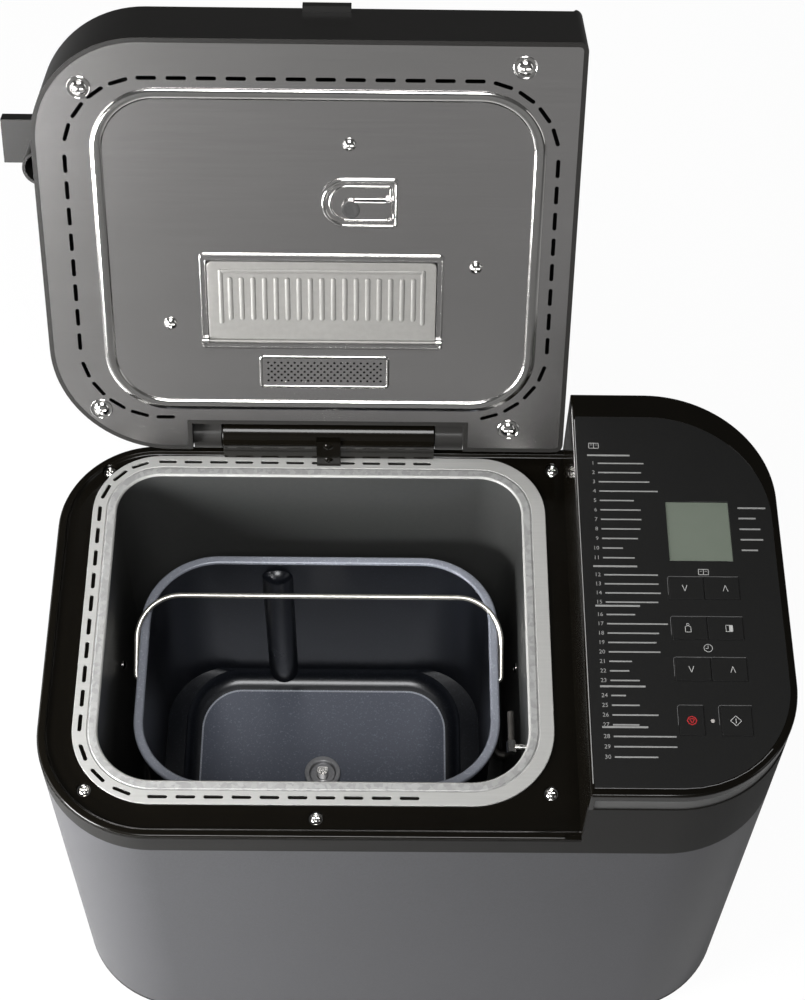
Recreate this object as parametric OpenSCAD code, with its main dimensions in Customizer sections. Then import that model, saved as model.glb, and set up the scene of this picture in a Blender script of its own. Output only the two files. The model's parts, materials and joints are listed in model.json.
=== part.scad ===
// Household bread machine with its lid open, seen from the front when looking along +Y.
// Millimetres. X runs to the right, Y to the back and Z up. The origin is on the floor under the body's centre.
// The lid's own pieces are drawn closed and then turned about the hinge by lid_open.

/* [Body] */
// Width of the body
body_w = 408; // [390:1:440]
// Depth of the body
body_d = 252; // [244:1:270]
// Height of the deck's rim above the floor
deck_h = 272; // [264:1:290]
// Height of the console's top above the floor
console_h = 328; // [322:1:345]
// Width of the console
console_w = 112; // [106:1:124]
// Corner radius at the front left
front_left_r = 65; // [50:1:70]
// Corner radius at the front right
front_right_r = 66; // [50:1:70]
// Corner radius at the rear right
rear_right_r = 70; // [50:1:72]
// Corner radius at the rear left
rear_left_r = 56; // [50:1:60]
// Sheet thickness of the painted wrap
wrap_wall = 1.2; // [0.8:0.1:1.6]
// Height of the charcoal band round the deck
band_h = 15; // [12:1:18]
// Wall thickness of the charcoal frame
frame_wall = 3; // [2.5:0.1:3.4]
// Depth of the frame's skirt inside the wrap
skirt_h = 8; // [5:1:12]
// Thickness of the base plate
base_t = 3; // [2.5:0.5:4]
// Height of the base plate's lip inside the wrap
base_lip = 8; // [5:1:10]
// Height of a foot
foot_h = 6; // [5:0.5:9]
// Radius of a foot
foot_r = 11; // [8:0.5:13]
// Distance of the feet from the body's sides
foot_inset = 46; // [40:1:60]
// Number of cooling slots in the base and in the back
cooling_slots = 9; // [5:1:10]
// Width of a cooling slot
cooling_slot_w = 4; // [3:0.5:5]
// Length of a cooling slot
cooling_slot_l = 34; // [24:1:40]
// Distance between cooling slots
cooling_pitch = 9; // [8:0.5:10]
// Distance of the back's cooling slots from the inlet and from the wrap's upper edge
cooling_in = 60; // [50:1:70]

/* [Deck] */
// Thickness of the deck
deck_t = 3; // [2.5:0.5:4]
// Width of the deck's raised rim
rim_w = 6; // [5:0.25:6.25]
// Height of the deck's raised rim above the deck
rim_h = 3; // [2.5:0.25:4]
// How far the rim stands above the band
rim_reveal = 2; // [1:0.25:2.5]
// Width of the band's edge left bare round the rim
rim_inset = 0.6; // [0.4:0.1:1]
// Width of the notch beside the console at the front
notch_w = 9; // [6:1:12]
// Depth of the notch beside the console at the front
notch_d = 13; // [10:1:16]
// Shank radius of a deck screw
screw_shank_r = 1.6; // [1.2:0.1:1.8]
// Head radius of a deck screw
deck_screw_r = 3.2; // [2.5:0.1:3.6]
// Radius of the recess round a deck screw
deck_recess_r = 4.3; // [3.9:0.1:4.6]
// Depth of the recess round a deck screw
deck_recess_d = 1; // [0.6:0.1:1.4]
// Distance of the corner screws from the body's sides
deck_screw_in = 27; // [26:0.5:29]

/* [Oven] */
// Distance from the body's left side to the oven ring
ring_left = 19; // [18:1:26]
// Distance from the console to the oven ring
ring_right = 12; // [10:1:18]
// Distance from the body's front to the oven ring
ring_front = 20.5; // [18:0.5:26]
// Distance from the body's back to the oven ring
ring_back = 6.5; // [6.5:0.5:9]
// Width of the oven ring
ring_w = 15; // [13:0.5:17]
// Sheet thickness of the oven ring
ring_t = 1; // [0.8:0.1:1.2]
// Depth of the ring's lip inside the liner
ring_lip = 12; // [8:1:16]
// Outer corner radius of the ring at the front
ring_front_r = 46; // [40:1:50]
// Outer corner radius of the ring at the back
ring_back_r = 39; // [36:1:46]
// Distance between the ring's slots
ring_slot_pitch = 15.1; // [14:0.1:17]
// Length of a slot in the ring
ring_slot_l = 10.8; // [9:0.1:12]
// Width of a slot in the ring
ring_slot_w = 2.1; // [1.6:0.1:2.6]
// Distance of the slots from the ring's outer edge
ring_slot_in = 4.2; // [3.5:0.1:5]
// Width of the ring's plain part beside the console, which has no slots
ring_plain = 66; // [60:1:70]
// Height of the liner's floor above the floor under the machine
liner_floor = 45; // [43:1:50]
// Sheet thickness of the liner
liner_t = 0.8; // [0.6:0.1:1]
// Width of the liner's flange under the deck
liner_flange = 7; // [6:0.5:7]
// Height of the liner's side screws
liner_screw_z = 187; // [160:1:200]
// Distance of the liner's side screws behind the pan's centre
liner_screw_y = 16; // [10:1:22]
// Head radius of a liner screw
liner_screw_r = 3; // [2:0.25:3.5]
// Radius of the heater tube
heater_r = 3.2; // [2.5:0.1:3.6]
// Gap between the heater tube and the liner's wall
heater_gap = 3.4; // [2.6:0.1:3.8]
// Height of the heater tube above the liner's floor
heater_h = 17; // [12:1:26]
// Distance between the heater's two ends
heater_ends = 36; // [28:1:50]
// Radius of a heater terminal
terminal_r = 6; // [5:0.5:7]
// Length of a heater terminal
terminal_l = 9; // [6:0.5:12]
// Height of the temperature sensor below the deck's rim
sensor_drop = 30; // [24:1:34]
// Distance of the temperature sensor in front of the pan's centre
sensor_y = 64; // [58:1:64]
// Radius of the temperature sensor
sensor_r = 1.8; // [1.4:0.1:2]
// Length of the sensor's arm along the wall
sensor_l = 22; // [16:1:26]
// Distance of the sensor's arm from the wall
sensor_gap = 8; // [6:0.5:8.5]

/* [Pan] */
// Gap between the pan's rim and the oven ring at each side
pan_side_gap = 11; // [10:0.5:14]
// Gap between the pan's rim and the oven ring at the front and the back
pan_end_gap = 19.5; // [18:0.5:24]
// Height of the pan's rim above the floor under the machine
pan_top = 213; // [208:1:218]
// Depth of the pan inside
pan_depth = 145; // [140:1:146]
// Width of the pan's rim
pan_rim = 5.5; // [5:0.5:6.5]
// Thickness of the pan's rim
pan_rim_t = 3; // [2:0.5:4]
// Wall thickness of the pan
pan_t = 1.4; // [1:0.1:1.8]
// Corner radius of the pan inside
pan_r = 40; // [34:1:46]
// Radius of the kneading rib on the pan's back wall
rib_r = 10.5; // [8:0.5:12]
// How far the kneading rib stands out of the wall
rib_out = 6; // [4:0.5:7]
// Distance of the kneading rib to the left of the pan's centre
rib_x = 27; // [20:1:36]
// Radius of the foot under the pan
pan_foot_r = 46; // [42:1:50]
// Wall thickness of the foot under the pan
pan_foot_t = 2; // [1.5:0.25:3]
// Height of the seat that holds the pan's foot
seat_h = 8; // [6:1:12]
// Wall thickness of the seat
seat_t = 3; // [2:0.5:4]
// Wire radius of the bail
bail_wire_r = 1.5; // [1.2:0.1:1.8]
// Distance from the bail's pivot to its bar
bail_l = 49.5; // [46:0.5:51]
// Lean of the bail from upright
bail_lean = 60; // [50:1:66]
// Bend radius of the bail's corners
bail_bend = 26; // [18:1:28]
// Height of the bail's pivot below the pan's rim
bail_drop = 13; // [11:1:16]
// Width of an ear that holds the bail
ear_w = 22; // [18:1:26]
// Height of an ear that holds the bail
ear_h = 18; // [14:1:19]
// Wall thickness of an ear that holds the bail
ear_t = 2; // [1.5:0.25:2.5]
// Radius of the kneading mount on the pan's floor
mount_r = 11.5; // [9:0.5:12.5]
// Height of the kneading mount on the pan's floor
mount_h = 4; // [3:0.5:6]
// Height of the kneading shaft above the pan's floor
shaft_out = 8; // [6:1:12]
// Radius of the kneading shaft
shaft_r = 3.6; // [3:0.1:4]

/* [Drive] */
// Radius of the large pulley's belt seat
pulley_r = 44; // [38:1:46]
// Radius of the motor pulley's belt seat
motor_pulley_r = 9; // [8:0.5:12]
// Height of both pulleys
pulley_h = 8; // [7:0.5:9]
// Height of a pulley's flange over its seat
pulley_flange = 2; // [1.5:0.25:3]
// Thickness of the belt
belt_t = 2.4; // [1.8:0.1:3]
// Distance of the motor's axis behind the console's left side
motor_x = 43; // [41:1:52]
// Radius of the motor
motor_r = 36; // [30:1:38]
// Height of the motor
motor_h = 78; // [60:1:90]
// Thickness of the chassis plate
chassis_t = 2; // [1.5:0.25:3]
// Height of the chassis plate above the base plate
chassis_gap = 13; // [12:0.5:14]
// Radius of the chassis posts
post_r = 5; // [4:0.5:6]
// Radius of the drive bearing
bearing_r = 12; // [10:0.5:14]
// Radius of the coupling hubs
hub_r = 8; // [7:0.5:9]
// Reach of the coupling wings
wing_reach = 17; // [15:0.5:19]
// Thickness of the coupling wings
wing_t = 5; // [4:0.5:6]

/* [Console] */
// Thickness of the console's top
top_t = 3; // [2.5:0.5:4]
// Height of the gloss rim round the console's top
rim_gloss = 6; // [5:0.5:8]
// Height of the light trim under the gloss rim
trim_h = 11; // [8:1:14]
// How far the light trim is set in
trim_in = 0.8; // [0.4:0.1:1.2]
// Thickness of the console's left wall
wall_left = 2.5; // [2:0.25:3]
// Width of the gloss border at the console's left
border_left = 2; // [1.5:0.25:2.2]
// Width of the gloss border at the console's right
border_right = 4; // [3:0.5:6]
// Width of the gloss border at the console's front
border_front = 5; // [4:0.5:8]
// Width of the gloss border at the console's back
border_back = 16; // [12:1:18]
// Thickness of the matt panel
panel_t = 0.8; // [0.6:0.1:1]
// Distance from the body's right side to the keys' right edge
key_right = 26; // [24:1:28]
// Width of a pair of keys
key_pair_w = 38; // [34:1:40]
// Depth of a pair of keys
key_d = 13.5; // [11:0.5:15]
// Distance from the body's centre to the first pair of keys
key_y = 2.75; // [1:0.25:4]
// Distance between the pairs of keys
key_pitch = 24.85; // [22:0.05:25]
// Depth of the stop and start keys
stop_d = 17; // [14:0.5:18]
// Width of the stop key
stop_w = 13; // [11:0.5:14]
// Width of the start key
start_w = 16; // [14:0.5:17]
// Gap between two keys of a pair
key_gap = 0.5; // [0.3:0.1:0.8]
// How far a key stands above the panel
key_proud = 0.2; // [0.1:0.05:0.4]
// Travel of a key
key_travel = 0.5; // [0.3:0.05:0.8]
// Width of the display
display_w = 35; // [30:1:37]
// Depth of the display
display_d = 38.4; // [34:0.1:40]
// Distance from the body's centre to the display
display_y = 33.8; // [32:0.1:38]
// Thickness of the display's window
window_t = 1.5; // [1:0.25:2]
// Thickness of a circuit board
board_t = 1.6; // [1.2:0.1:2]
// Gap between the liner and the power board
power_board_in = 6; // [5:1:10]
// Distance of the power board from the body's front
power_board_front = 18; // [16:1:24]
// Width of the power board
power_board_w = 72; // [64:1:74]
// Depth of the power board
power_board_d = 42; // [38:1:46]
// Height of the posts under the power board
board_post_h = 6; // [4:1:8]
// Distance of the power board's posts from its edges
board_post_in = 4; // [3.5:0.5:5]
// Width of the transformer
transformer_w = 26; // [20:1:28]
// Depth of the transformer
transformer_d = 24; // [20:1:28]
// Height of the transformer above the board's underside
transformer_h = 28; // [20:1:32]
// Radius of a capacitor
capacitor_r = 5; // [3:0.5:5]
// Height of a capacitor above the board's underside
capacitor_h = 20; // [12:1:24]
// Gap between the console's top and the control board
board_gap = 11; // [9:0.5:14]
// Radius of the start light
light_r = 1.1; // [0.8:0.1:1.4]

/* [Lid] */
// Angle through which the lid is open
lid_open = 113; // [95:1:116]
// Thickness of the lid at its edge
lid_h = 46; // [42:1:50]
// Gap between the deck's rim and the closed lid
lid_gap = 1; // [0.8:0.1:1.6]
// Gap between the lid and the console
lid_side_gap = 3; // [2:0.5:4]
// Wall thickness of the lid
lid_wall = 2.5; // [2:0.25:3]
// Corner radius of the lid at the front left
lid_front_r = 60; // [54:1:66]
// Corner radius of the lid at the rear left
lid_rear_r = 66; // [56:1:70]
// Corner radius of the lid beside the console
lid_right_r = 5; // [3.5:0.5:8]
// Distance of the hinge axis from the body's back
hinge_in = 2; // [1:0.5:3]
// Height of the hinge axis above the deck's rim
hinge_up = 18; // [17:0.5:20]
// Radius of the hinge barrel
barrel_r = 10; // [8:0.5:11]
// Radius of the hinge pin
pin_r = 2.5; // [2:0.1:3]
// Left end of the hinge notch, from the lid's left side
hinge_left = 78; // [72:1:84]
// Width of the hinge notch
hinge_w = 157; // [140:1:160]
// Depth of the hinge notch
hinge_d = 17.5; // [16:0.5:18]
// Width of the lid's ears in the notch
hinge_ear_w = 16; // [12:1:20]
// Width of the bracket on the hinge housing
bracket_w = 14; // [12:1:18]
// Thickness of the bracket on the hinge housing
bracket_t = 4.5; // [4:0.25:5]
// Width of the lid's front grip
grip_w = 26; // [20:1:34]
// How far the lid's front grip stands out
grip_out = 3.3; // [2:0.1:4]
// Height of the lid's front grip
grip_h = 8; // [6:0.5:12]
// Radius of the scoop on the lid's left side
scoop_r = 10; // [8:0.5:12]
// Height of the scoop on the lid's left side
scoop_h = 26; // [18:1:30]
// Distance of the scoop in front of the lid's centre
scoop_y = 46; // [40:1:52]

/* [Lid plate] */
// Sheet thickness of the lid's inner plate
plate_t = 1; // [0.8:0.1:1.2]
// Distance of the embossed bead from the lid's left side
bead_left = 31; // [29:0.5:34]
// Distance of the embossed bead from the lid's right side
bead_right = 19; // [18:0.5:22]
// Distance of the embossed bead from the lid's front and back
bead_ends = 27.5; // [26.5:0.5:30]
// Width of the embossed bead
bead_w = 6.5; // [5:0.5:8]
// Height of the embossed bead
bead_h = 1.4; // [1:0.1:1.6]
// Corner radius of the embossed bead
bead_r = 36; // [30:1:40]
// Distance of the plate's slots from the lid's left side
plate_slot_left = 17.3; // [15:0.1:20]
// Distance of the plate's slots from the lid's other sides
plate_slot_ends = 22; // [20:0.5:23]
// Distance of the plate's slots from the lid's right side
plate_slot_right = 12.5; // [10:0.5:13]
// Corner radius of the ring of slots in the plate
plate_slot_r = 45; // [40:1:50]
// Distance between the plate's slots
plate_slot_pitch = 15.6; // [14:0.1:17]
// Length of a slot in the plate
plate_slot_l = 10.7; // [9:0.1:12]
// Width of a slot in the plate
plate_slot_w = 2.2; // [1.8:0.1:2.6]
// Head radius of a corner screw in the plate
plate_screw_r = 4.6; // [4:0.1:5]
// Head radius of an inner screw in the plate
inner_screw_r = 3.6; // [3:0.1:4]
// Distance of the inner screws from the dispenser's frame
inner_screw_gap = 17; // [14:0.5:20]
// Height of the plate's screw heads
plate_screw_h = 1.9; // [1.5:0.1:2.2]
// Radius of the lid's screw posts
lid_post_r = 4.2; // [3.5:0.1:4.5]

/* [Dispenser] */
// Left edge of the dispenser's frame, from the lid's left side
dispenser_left = 86; // [80:1:92]
// Distance of the frame's front edge in front of the lid's centre
dispenser_front = 2; // [0:0.5:6]
// Width of the dispenser's frame
dispenser_w = 135.5; // [120:0.5:140]
// Depth of the dispenser's frame
dispenser_d = 60; // [54:0.5:62]
// Width of the dispenser frame's border
dispenser_border = 4; // [3:0.25:5]
// Thickness of the dispenser's flap
flap_t = 1; // [0.8:0.1:1.2]
// Gap round the dispenser's flap
flap_gap = 0.5; // [0.3:0.1:0.8]
// Number of ribs on the flap
flap_ribs = 17; // [12:1:18]
// Height of a rib on the flap
flap_rib_h = 0.8; // [0.5:0.1:1]
// Radius of the flap's pins
flap_pin_r = 1; // [0.8:0.1:1.2]
// Wall thickness of the dispenser's box
box_wall = 2; // [1.5:0.25:2.5]
// Distance of the yeast hole from the lid's left side
yeast_x = 169.8; // [165:0.2:176]
// Distance of the yeast hole in front of the lid's centre
yeast_y = 30.2; // [28:0.2:34]
// Radius of the yeast valve's disc
valve_r = 5.1; // [4.6:0.1:6]
// Radius of the yeast hole
yeast_hole_r = 4; // [3.4:0.1:4.4]
// Length of the yeast valve's arm
valve_arm = 21; // [18:0.5:24]
// Width of the yeast valve's arm
valve_w = 9; // [7:0.5:11]
// Radius of the yeast hopper
hopper_r = 12; // [10:0.5:13]
// Left edge of the steam vent, from the lid's left side
vent_left = 119.8; // [112:0.2:126]
// Distance of the vent's front edge behind the lid's centre
vent_front = 64; // [63:0.5:66]
// Width of the steam vent
vent_w = 70; // [60:1:74]
// Depth of the steam vent
vent_d = 18; // [16:0.5:18]
// Distance between the vent's holes
vent_pitch = 3.75; // [3.4:0.05:4.2]
// Radius of a hole in the vent
vent_hole_r = 0.65; // [0.5:0.05:0.8]
// Thickness of the dispenser's lid
cover_t = 2.4; // [2:0.2:3]
// Height of the dispenser's lid over the lid
cover_h = 8; // [7:0.5:9]
// Width of the dispenser's lid
cover_w = 240; // [230:1:244]
// Depth of the dispenser's lid
cover_d = 136; // [130:1:140]
// How far the tab of the dispenser's lid stands out
tab_out = 25; // [20:1:28]
// Width of the tab of the dispenser's lid
tab_w = 26; // [20:1:30]
// Distance of the tab in front of the lid's centre
tab_y = 46; // [42:1:50]
// Radius of the hinge knuckles of the dispenser's lid
knuckle_r = 2.2; // [2:0.1:2.6]
// Length of a hinge knuckle of the dispenser's lid
knuckle_l = 20; // [12:1:26]
// Distance between the middles of the two knuckles
knuckle_pitch = 70; // [60:1:80]
// Radius of the hinge pins of the dispenser's lid
knuckle_pin_r = 1.1; // [0.9:0.1:1.3]

/* [Clearances] */
// Radial running clearance of shafts and pins
run_fit = 0.06; // [0.04:0.01:0.09]
// Gap between pieces that slide past each other
slide_fit = 0.3; // [0.2:0.05:0.4]
// Gap between pieces that are fastened together
seat_fit = 0.1; // [0.05:0.05:0.15]

/* [Hidden] */
$fn = 96;
e = 0.01;

left = -body_w / 2;
right = body_w / 2;
front = -body_d / 2;
back = body_d / 2;
console_left = right - console_w;
base_top = foot_h + base_t;
band_top = deck_h - rim_reveal;
band_bottom = band_top - band_h;
deck_top = deck_h - rim_h;
deck_bottom = deck_top - deck_t;
ledge_z = deck_bottom - 4;

// An outline is [left, front, right, back, then the four corner radii from front left, anticlockwise].
body_box = [left, front, right, back, front_left_r, front_right_r, rear_right_r, rear_left_r];
deck_box = [left, front, console_left, back, front_left_r, 0, 0, rear_left_r];
console_box = [console_left, front, right, back, 0, front_right_r, rear_right_r, 0];

ring_box = [
  left + ring_left, front + ring_front, console_left - ring_right, back - ring_back,
  ring_front_r, ring_front_r, ring_back_r, ring_back_r
];
mouth_box = shrink(ring_box, ring_w);
liner_box = shrink(mouth_box, -ring_t - seat_fit);
oven_x = (mouth_box[0] + mouth_box[2]) / 2;
oven_y = (mouth_box[1] + mouth_box[3]) / 2;
heater_box = shrink(liner_box, heater_gap + heater_r);
heater_z = liner_floor + heater_h;
sensor_z = deck_h - sensor_drop;

pan_w = mouth_box[2] - mouth_box[0] - 2 * pan_side_gap;
pan_d = mouth_box[3] - mouth_box[1] - 2 * pan_end_gap;
pan_box = [
  oven_x - pan_w / 2 + pan_rim, oven_y - pan_d / 2 + pan_rim, oven_x + pan_w / 2 - pan_rim,
  oven_y + pan_d / 2 - pan_rim, pan_r, pan_r, pan_r, pan_r
];
pan_floor = pan_top - pan_depth;
pan_bottom = pan_floor - pan_t;
bail_z = pan_top - bail_drop;
bail_x = pan_w / 2 + slide_fit + bail_wire_r;
bail_end_bend = 2.6;
ear_outer = pan_w / 2 - pan_rim + pan_t;
ear_boss = bail_x - bail_end_bend - seat_fit - ear_outer;

chassis_z = base_top + chassis_gap;
pulley_z = base_top + 3;
motor_axis_x = console_left + motor_x;
coupling_z = liner_floor + 3;
wing_h = 6;

trim_z = console_h - rim_gloss - trim_h;
top_under = console_h - top_t;
board_top = top_under - board_gap;
switch_h = board_gap - 6.5;
key_left = right - key_right - key_pair_w;
key_w = (key_pair_w - key_gap) / 2;
stop_y = -key_y - 2 * key_pitch - key_d / 2 - 15 - stop_d / 2;
display_x = key_left + key_pair_w / 2;

plate_z = deck_h + lid_gap;
lid_top = plate_z + lid_h;
lid_right = console_left - lid_side_gap;
lid_box = [left, front, lid_right, back, lid_front_r, lid_right_r, lid_right_r, lid_rear_r];
hinge_y = back - hinge_in;
hinge_z = deck_h + hinge_up;
hinge_x0 = left + hinge_left;
hinge_x1 = hinge_x0 + hinge_w;
hinge_mid = (hinge_x0 + hinge_x1) / 2;
bead_box = [
  left + bead_left, front + bead_ends, lid_right - bead_right, back - bead_ends, bead_r, bead_r, bead_r, bead_r
];
plate_slot_box = [
  left + plate_slot_left, front + plate_slot_ends, lid_right - plate_slot_right, back - plate_slot_ends,
  plate_slot_r, plate_slot_r, plate_slot_r, plate_slot_r
];
frame_box = [
  left + dispenser_left, -dispenser_front, left + dispenser_left + dispenser_w, dispenser_d - dispenser_front,
  3, 3, 3, 3
];
flap_box = shrink(frame_box, dispenser_border + flap_gap);
flap_hinge_y = flap_box[3] - flap_pin_r - 0.4;
flap_hinge_z = plate_z - flap_t - flap_pin_r + 0.4;
frame_proud = 0.8;
valve_hinge_x = left + yeast_x + valve_arm;
valve_hinge_z = plate_z - 1.2;
valve_pin_r = 1;
eyelet_wall = 1.1;
vent_x = left + vent_left;
yeast = [left + yeast_x, -yeast_y];
yeast_bead = [yeast[0] - 16, yeast[1] - 17.5, valve_hinge_x + 5, yeast[1] + 12, 12, 3, 3, 12];
cover_box = [left + 1, -cover_d / 2 + 2, left + 1 + cover_w, cover_d / 2 + 2, 20, 6, 6, 20];
cover_z = lid_top + slide_fit;
knuckle_x = cover_box[2] + knuckle_r + slide_fit;
knuckle_z = cover_z + knuckle_r;
eyelet_l = 4;

// Screws in the lid's plate: x, y and head radius.
plate_screw_places = [
  [left + 27.7, front + 27.9, plate_screw_r], [lid_right - 32.4, front + 14.2, plate_screw_r],
  [left + 26.6, back - 26.9, plate_screw_r], [lid_right - 32.1, back - 15.4, plate_screw_r],
  [yeast[0] - 0.8, yeast[1] - 37.3, inner_screw_r], [frame_box[2] + inner_screw_gap, 5.2, inner_screw_r],
  [frame_box[0] - inner_screw_gap, 42.1, inner_screw_r]
];

// Screws in the deck, in the space between its rim and the oven ring.
deck_screw_places = [
  [left + deck_screw_in, back - 18], [left + deck_screw_in + 1.5, front + deck_screw_in + 1.5],
  [oven_x + 2.5, front + 12.8], [console_left - 15, front + deck_screw_in + 1.5], [console_left - 7, back - 14]
];

// Keys: left edge, middle in Y, width and depth.
function pair_y(row) = -key_y - row * key_pitch;
function key_place(row, side) = [key_left + side * (key_w + key_gap), pair_y(row), key_w, key_d];
stop_place = [key_left, stop_y, stop_w, stop_d];
start_place = [key_left + key_pair_w - start_w, stop_y, start_w, stop_d];
key_places = concat([for (row = [0:2], side = [0:1]) key_place(row, side)], [stop_place, start_place]);
light_x = (stop_place[0] + stop_w + start_place[0]) / 2;

function shrink(box, d) = [
  box[0] + d, box[1] + d, box[2] - d, box[3] - d,
  for (i = [4:7]) box[i] > 0 ? max(box[i] - d, 0.5) : 0
];

// Same outline, but its right edge stays where it is.
function shrink_open(box, d) = [box[0] + d, box[1] + d, box[2], box[3] - d, max(box[4] - d, 0.5), 0, 0,
  max(box[7] - d, 0.5)];

// Same outline, but its left edge stays where it is.
function shrink_right(box, d) = [box[0], box[1] + d, box[2] - d, box[3] - d, 0, max(box[5] - d, 0.5),
  max(box[6] - d, 0.5), 0];

// A square left side cuts off what its neighbours' corners would put past it.
module outline(box) {
  if (box[4] == 0 && box[7] == 0) intersection() {
    rounded_outline(box);
    translate([box[0], box[1] - 1]) square([box[2] - box[0] + 1, box[3] - box[1] + 2]);
  }
  else rounded_outline(box);
}

module rounded_outline(box) {
  fl = box[4]; fr = box[5]; br = box[6]; bl = box[7];
  polygon([
    [box[0] + fl, box[1]], [box[2] - fr, box[1]], [box[2], box[1] + fr], [box[2], box[3] - br],
    [box[2] - br, box[3]], [box[0] + bl, box[3]], [box[0], box[3] - bl], [box[0], box[1] + fl]
  ]);
  if (fl > 0) translate([box[0] + fl, box[1] + fl]) circle(fl);
  if (fr > 0) translate([box[2] - fr, box[1] + fr]) circle(fr);
  if (br > 0) translate([box[2] - br, box[3] - br]) circle(br);
  if (bl > 0) translate([box[0] + bl, box[3] - bl]) circle(bl);
}

module plate(box, z0, z1) {
  translate([0, 0, z0]) linear_extrude(z1 - z0) outline(box);
}

module wall(box, thickness, z0, z1) {
  translate([0, 0, z0]) linear_extrude(z1 - z0) difference() {
    outline(box);
    outline(shrink(box, thickness));
  }
}

module post(x, y, r, z0, z1) {
  translate([x, y, z0]) cylinder(r = r, h = z1 - z0);
}

module ring_post(x, y, r, bore, z0, z1) {
  difference() {
    post(x, y, r, z0, z1);
    post(x, y, bore, z0 - 1, z1 + 1);
  }
}

module block(x0, y0, x1, y1, z0, z1) {
  translate([x0, y0, z0]) cube([x1 - x0, y1 - y0, z1 - z0]);
}

module rod_x(x0, x1, y, z, r) {
  translate([x0, y, z]) rotate([0, 90, 0]) cylinder(r = r, h = x1 - x0);
}

module slot(length, width) {
  square([length - width, width], center = true);
  for (side = [-1, 1]) translate([side * (length - width) / 2, 0]) circle(width / 2);
}

// A cross-head screw whose dome stands h above its seat, pointing up.
module screw_head(r, h) {
  dome_r = (r * r + h * h) / (2 * h);
  difference() {
    intersection() {
      translate([0, 0, h - dome_r]) sphere(dome_r);
      cylinder(r = r, h = h);
    }
    for (turn = [0, 90]) rotate([0, 0, turn]) translate([-r * 0.55, -r * 0.12, h * 0.4]) cube([r * 1.1, r * 0.24, h]);
  }
}

// Slots set along an outline: straight runs between the corners, and the same pitch round the corners.
// A slot that would reach past x_end is left out.
module slots_along(box, pitch, length, width, x_end) {
  x0 = box[0]; y0 = box[1]; x1 = box[2]; y1 = box[3];
  front_run = x1 - x0 - box[4] - box[5];
  back_run = x1 - x0 - box[6] - box[7];
  left_run = y1 - y0 - box[4] - box[7];
  right_run = y1 - y0 - box[5] - box[6];
  slot_run(x0 + box[4], y0, 0, front_run, pitch, length, width, x_end);
  slot_run(x0 + box[7], y1, 0, back_run, pitch, length, width, x_end);
  slot_run(x0, y0 + box[4], 90, left_run, pitch, length, width, x_end);
  slot_run(x1, y0 + box[5], 90, right_run, pitch, length, width, x_end);
  slot_bend(x0 + box[4], y0 + box[4], box[4], 180, pitch, length, width, x_end);
  slot_bend(x1 - box[5], y0 + box[5], box[5], 270, pitch, length, width, x_end);
  slot_bend(x1 - box[6], y1 - box[6], box[6], 0, pitch, length, width, x_end);
  slot_bend(x0 + box[7], y1 - box[7], box[7], 90, pitch, length, width, x_end);
}

module slot_run(x, y, turn, run, pitch, length, width, x_end) {
  count = floor(run / pitch);
  for (i = [0:count]) {
    along = (run - count * pitch) / 2 + i * pitch;
    if (x + along * cos(turn) + length / 2 < x_end)
      translate([x, y]) rotate([0, 0, turn]) translate([along, 0]) slot(length, width);
  }
}

module slot_bend(x, y, r, start, pitch, length, width, x_end) {
  count = floor(r * PI / 2 / pitch - 0.4);
  for (i = [1:count]) {
    angle = start + 90 * i / (count + 1);
    if (x + r * cos(angle) + length / 2 < x_end)
      translate([x, y]) rotate([0, 0, angle]) translate([r, 0]) rotate([0, 0, 90]) slot(length, width);
  }
}

module open_lid() {
  translate([0, hinge_y, hinge_z]) rotate([-lid_open, 0, 0]) translate([0, -hinge_y, -hinge_z]) children();
}

// ---- Body ----

module feet() {
  color("dimgray")
    for (x = [left + foot_inset, right - foot_inset], y = [front + foot_inset, back - foot_inset])
      post(x, y, foot_r, 0, foot_h);
}

module base_plate() {
  color("dimgray") {
    difference() {
      plate(body_box, foot_h, base_top);
      translate([oven_x, front + foot_inset, foot_h - 1]) linear_extrude(base_t + 2) cooling_row();
    }
    wall(shrink(body_box, wrap_wall + seat_fit), 2.5, base_top - e, base_top + base_lip);
  }
}

module cooling_row() {
  for (i = [0:cooling_slots - 1]) translate([(i - (cooling_slots - 1) / 2) * cooling_pitch, 0])
    rotate([0, 0, 90]) slot(cooling_slot_l, cooling_slot_w);
}

inlet_x = right - rear_right_r - 22;
inlet_z = 40;
inlet_w = 28;
inlet_h = 22;

module body_wrap() {
  color([0.45, 0.45, 0.47]) difference() {
    wall(body_box, wrap_wall, base_top, band_bottom);
    block(inlet_x - inlet_w / 2 - seat_fit, back - 5, inlet_x + inlet_w / 2 + seat_fit, back + 5,
      inlet_z - inlet_h / 2 - seat_fit, inlet_z + inlet_h / 2 + seat_fit);
    translate([inlet_x - cooling_in, back + wrap_wall, band_bottom - cooling_in]) rotate([90, 0, 0])
      linear_extrude(3 * wrap_wall) cooling_row();
  }
}

module top_frame() {
  color([0.22, 0.22, 0.21]) {
    wall(body_box, frame_wall, band_bottom, band_top);
    wall(shrink(body_box, wrap_wall + seat_fit), frame_wall - wrap_wall, band_bottom - skirt_h, band_bottom + e);
    difference() {
      plate(console_box, band_top - e, trim_z);
      plate(shrink_right(console_box, frame_wall), band_top - 1, trim_z + 1);
    }
    difference() {
      plate(shrink(body_box, frame_wall - e), ledge_z - 3, ledge_z);
      plate(shrink_open(deck_box, frame_wall + 6), ledge_z - 4, ledge_z + 1);
      plate(shrink_right(console_box, frame_wall + 6), ledge_z - 4, ledge_z + 1);
    }
    block(console_left - 5, front + frame_wall - e, console_left + wall_left, back - frame_wall + e,
      ledge_z - 3, ledge_z);
  }
}

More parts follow.
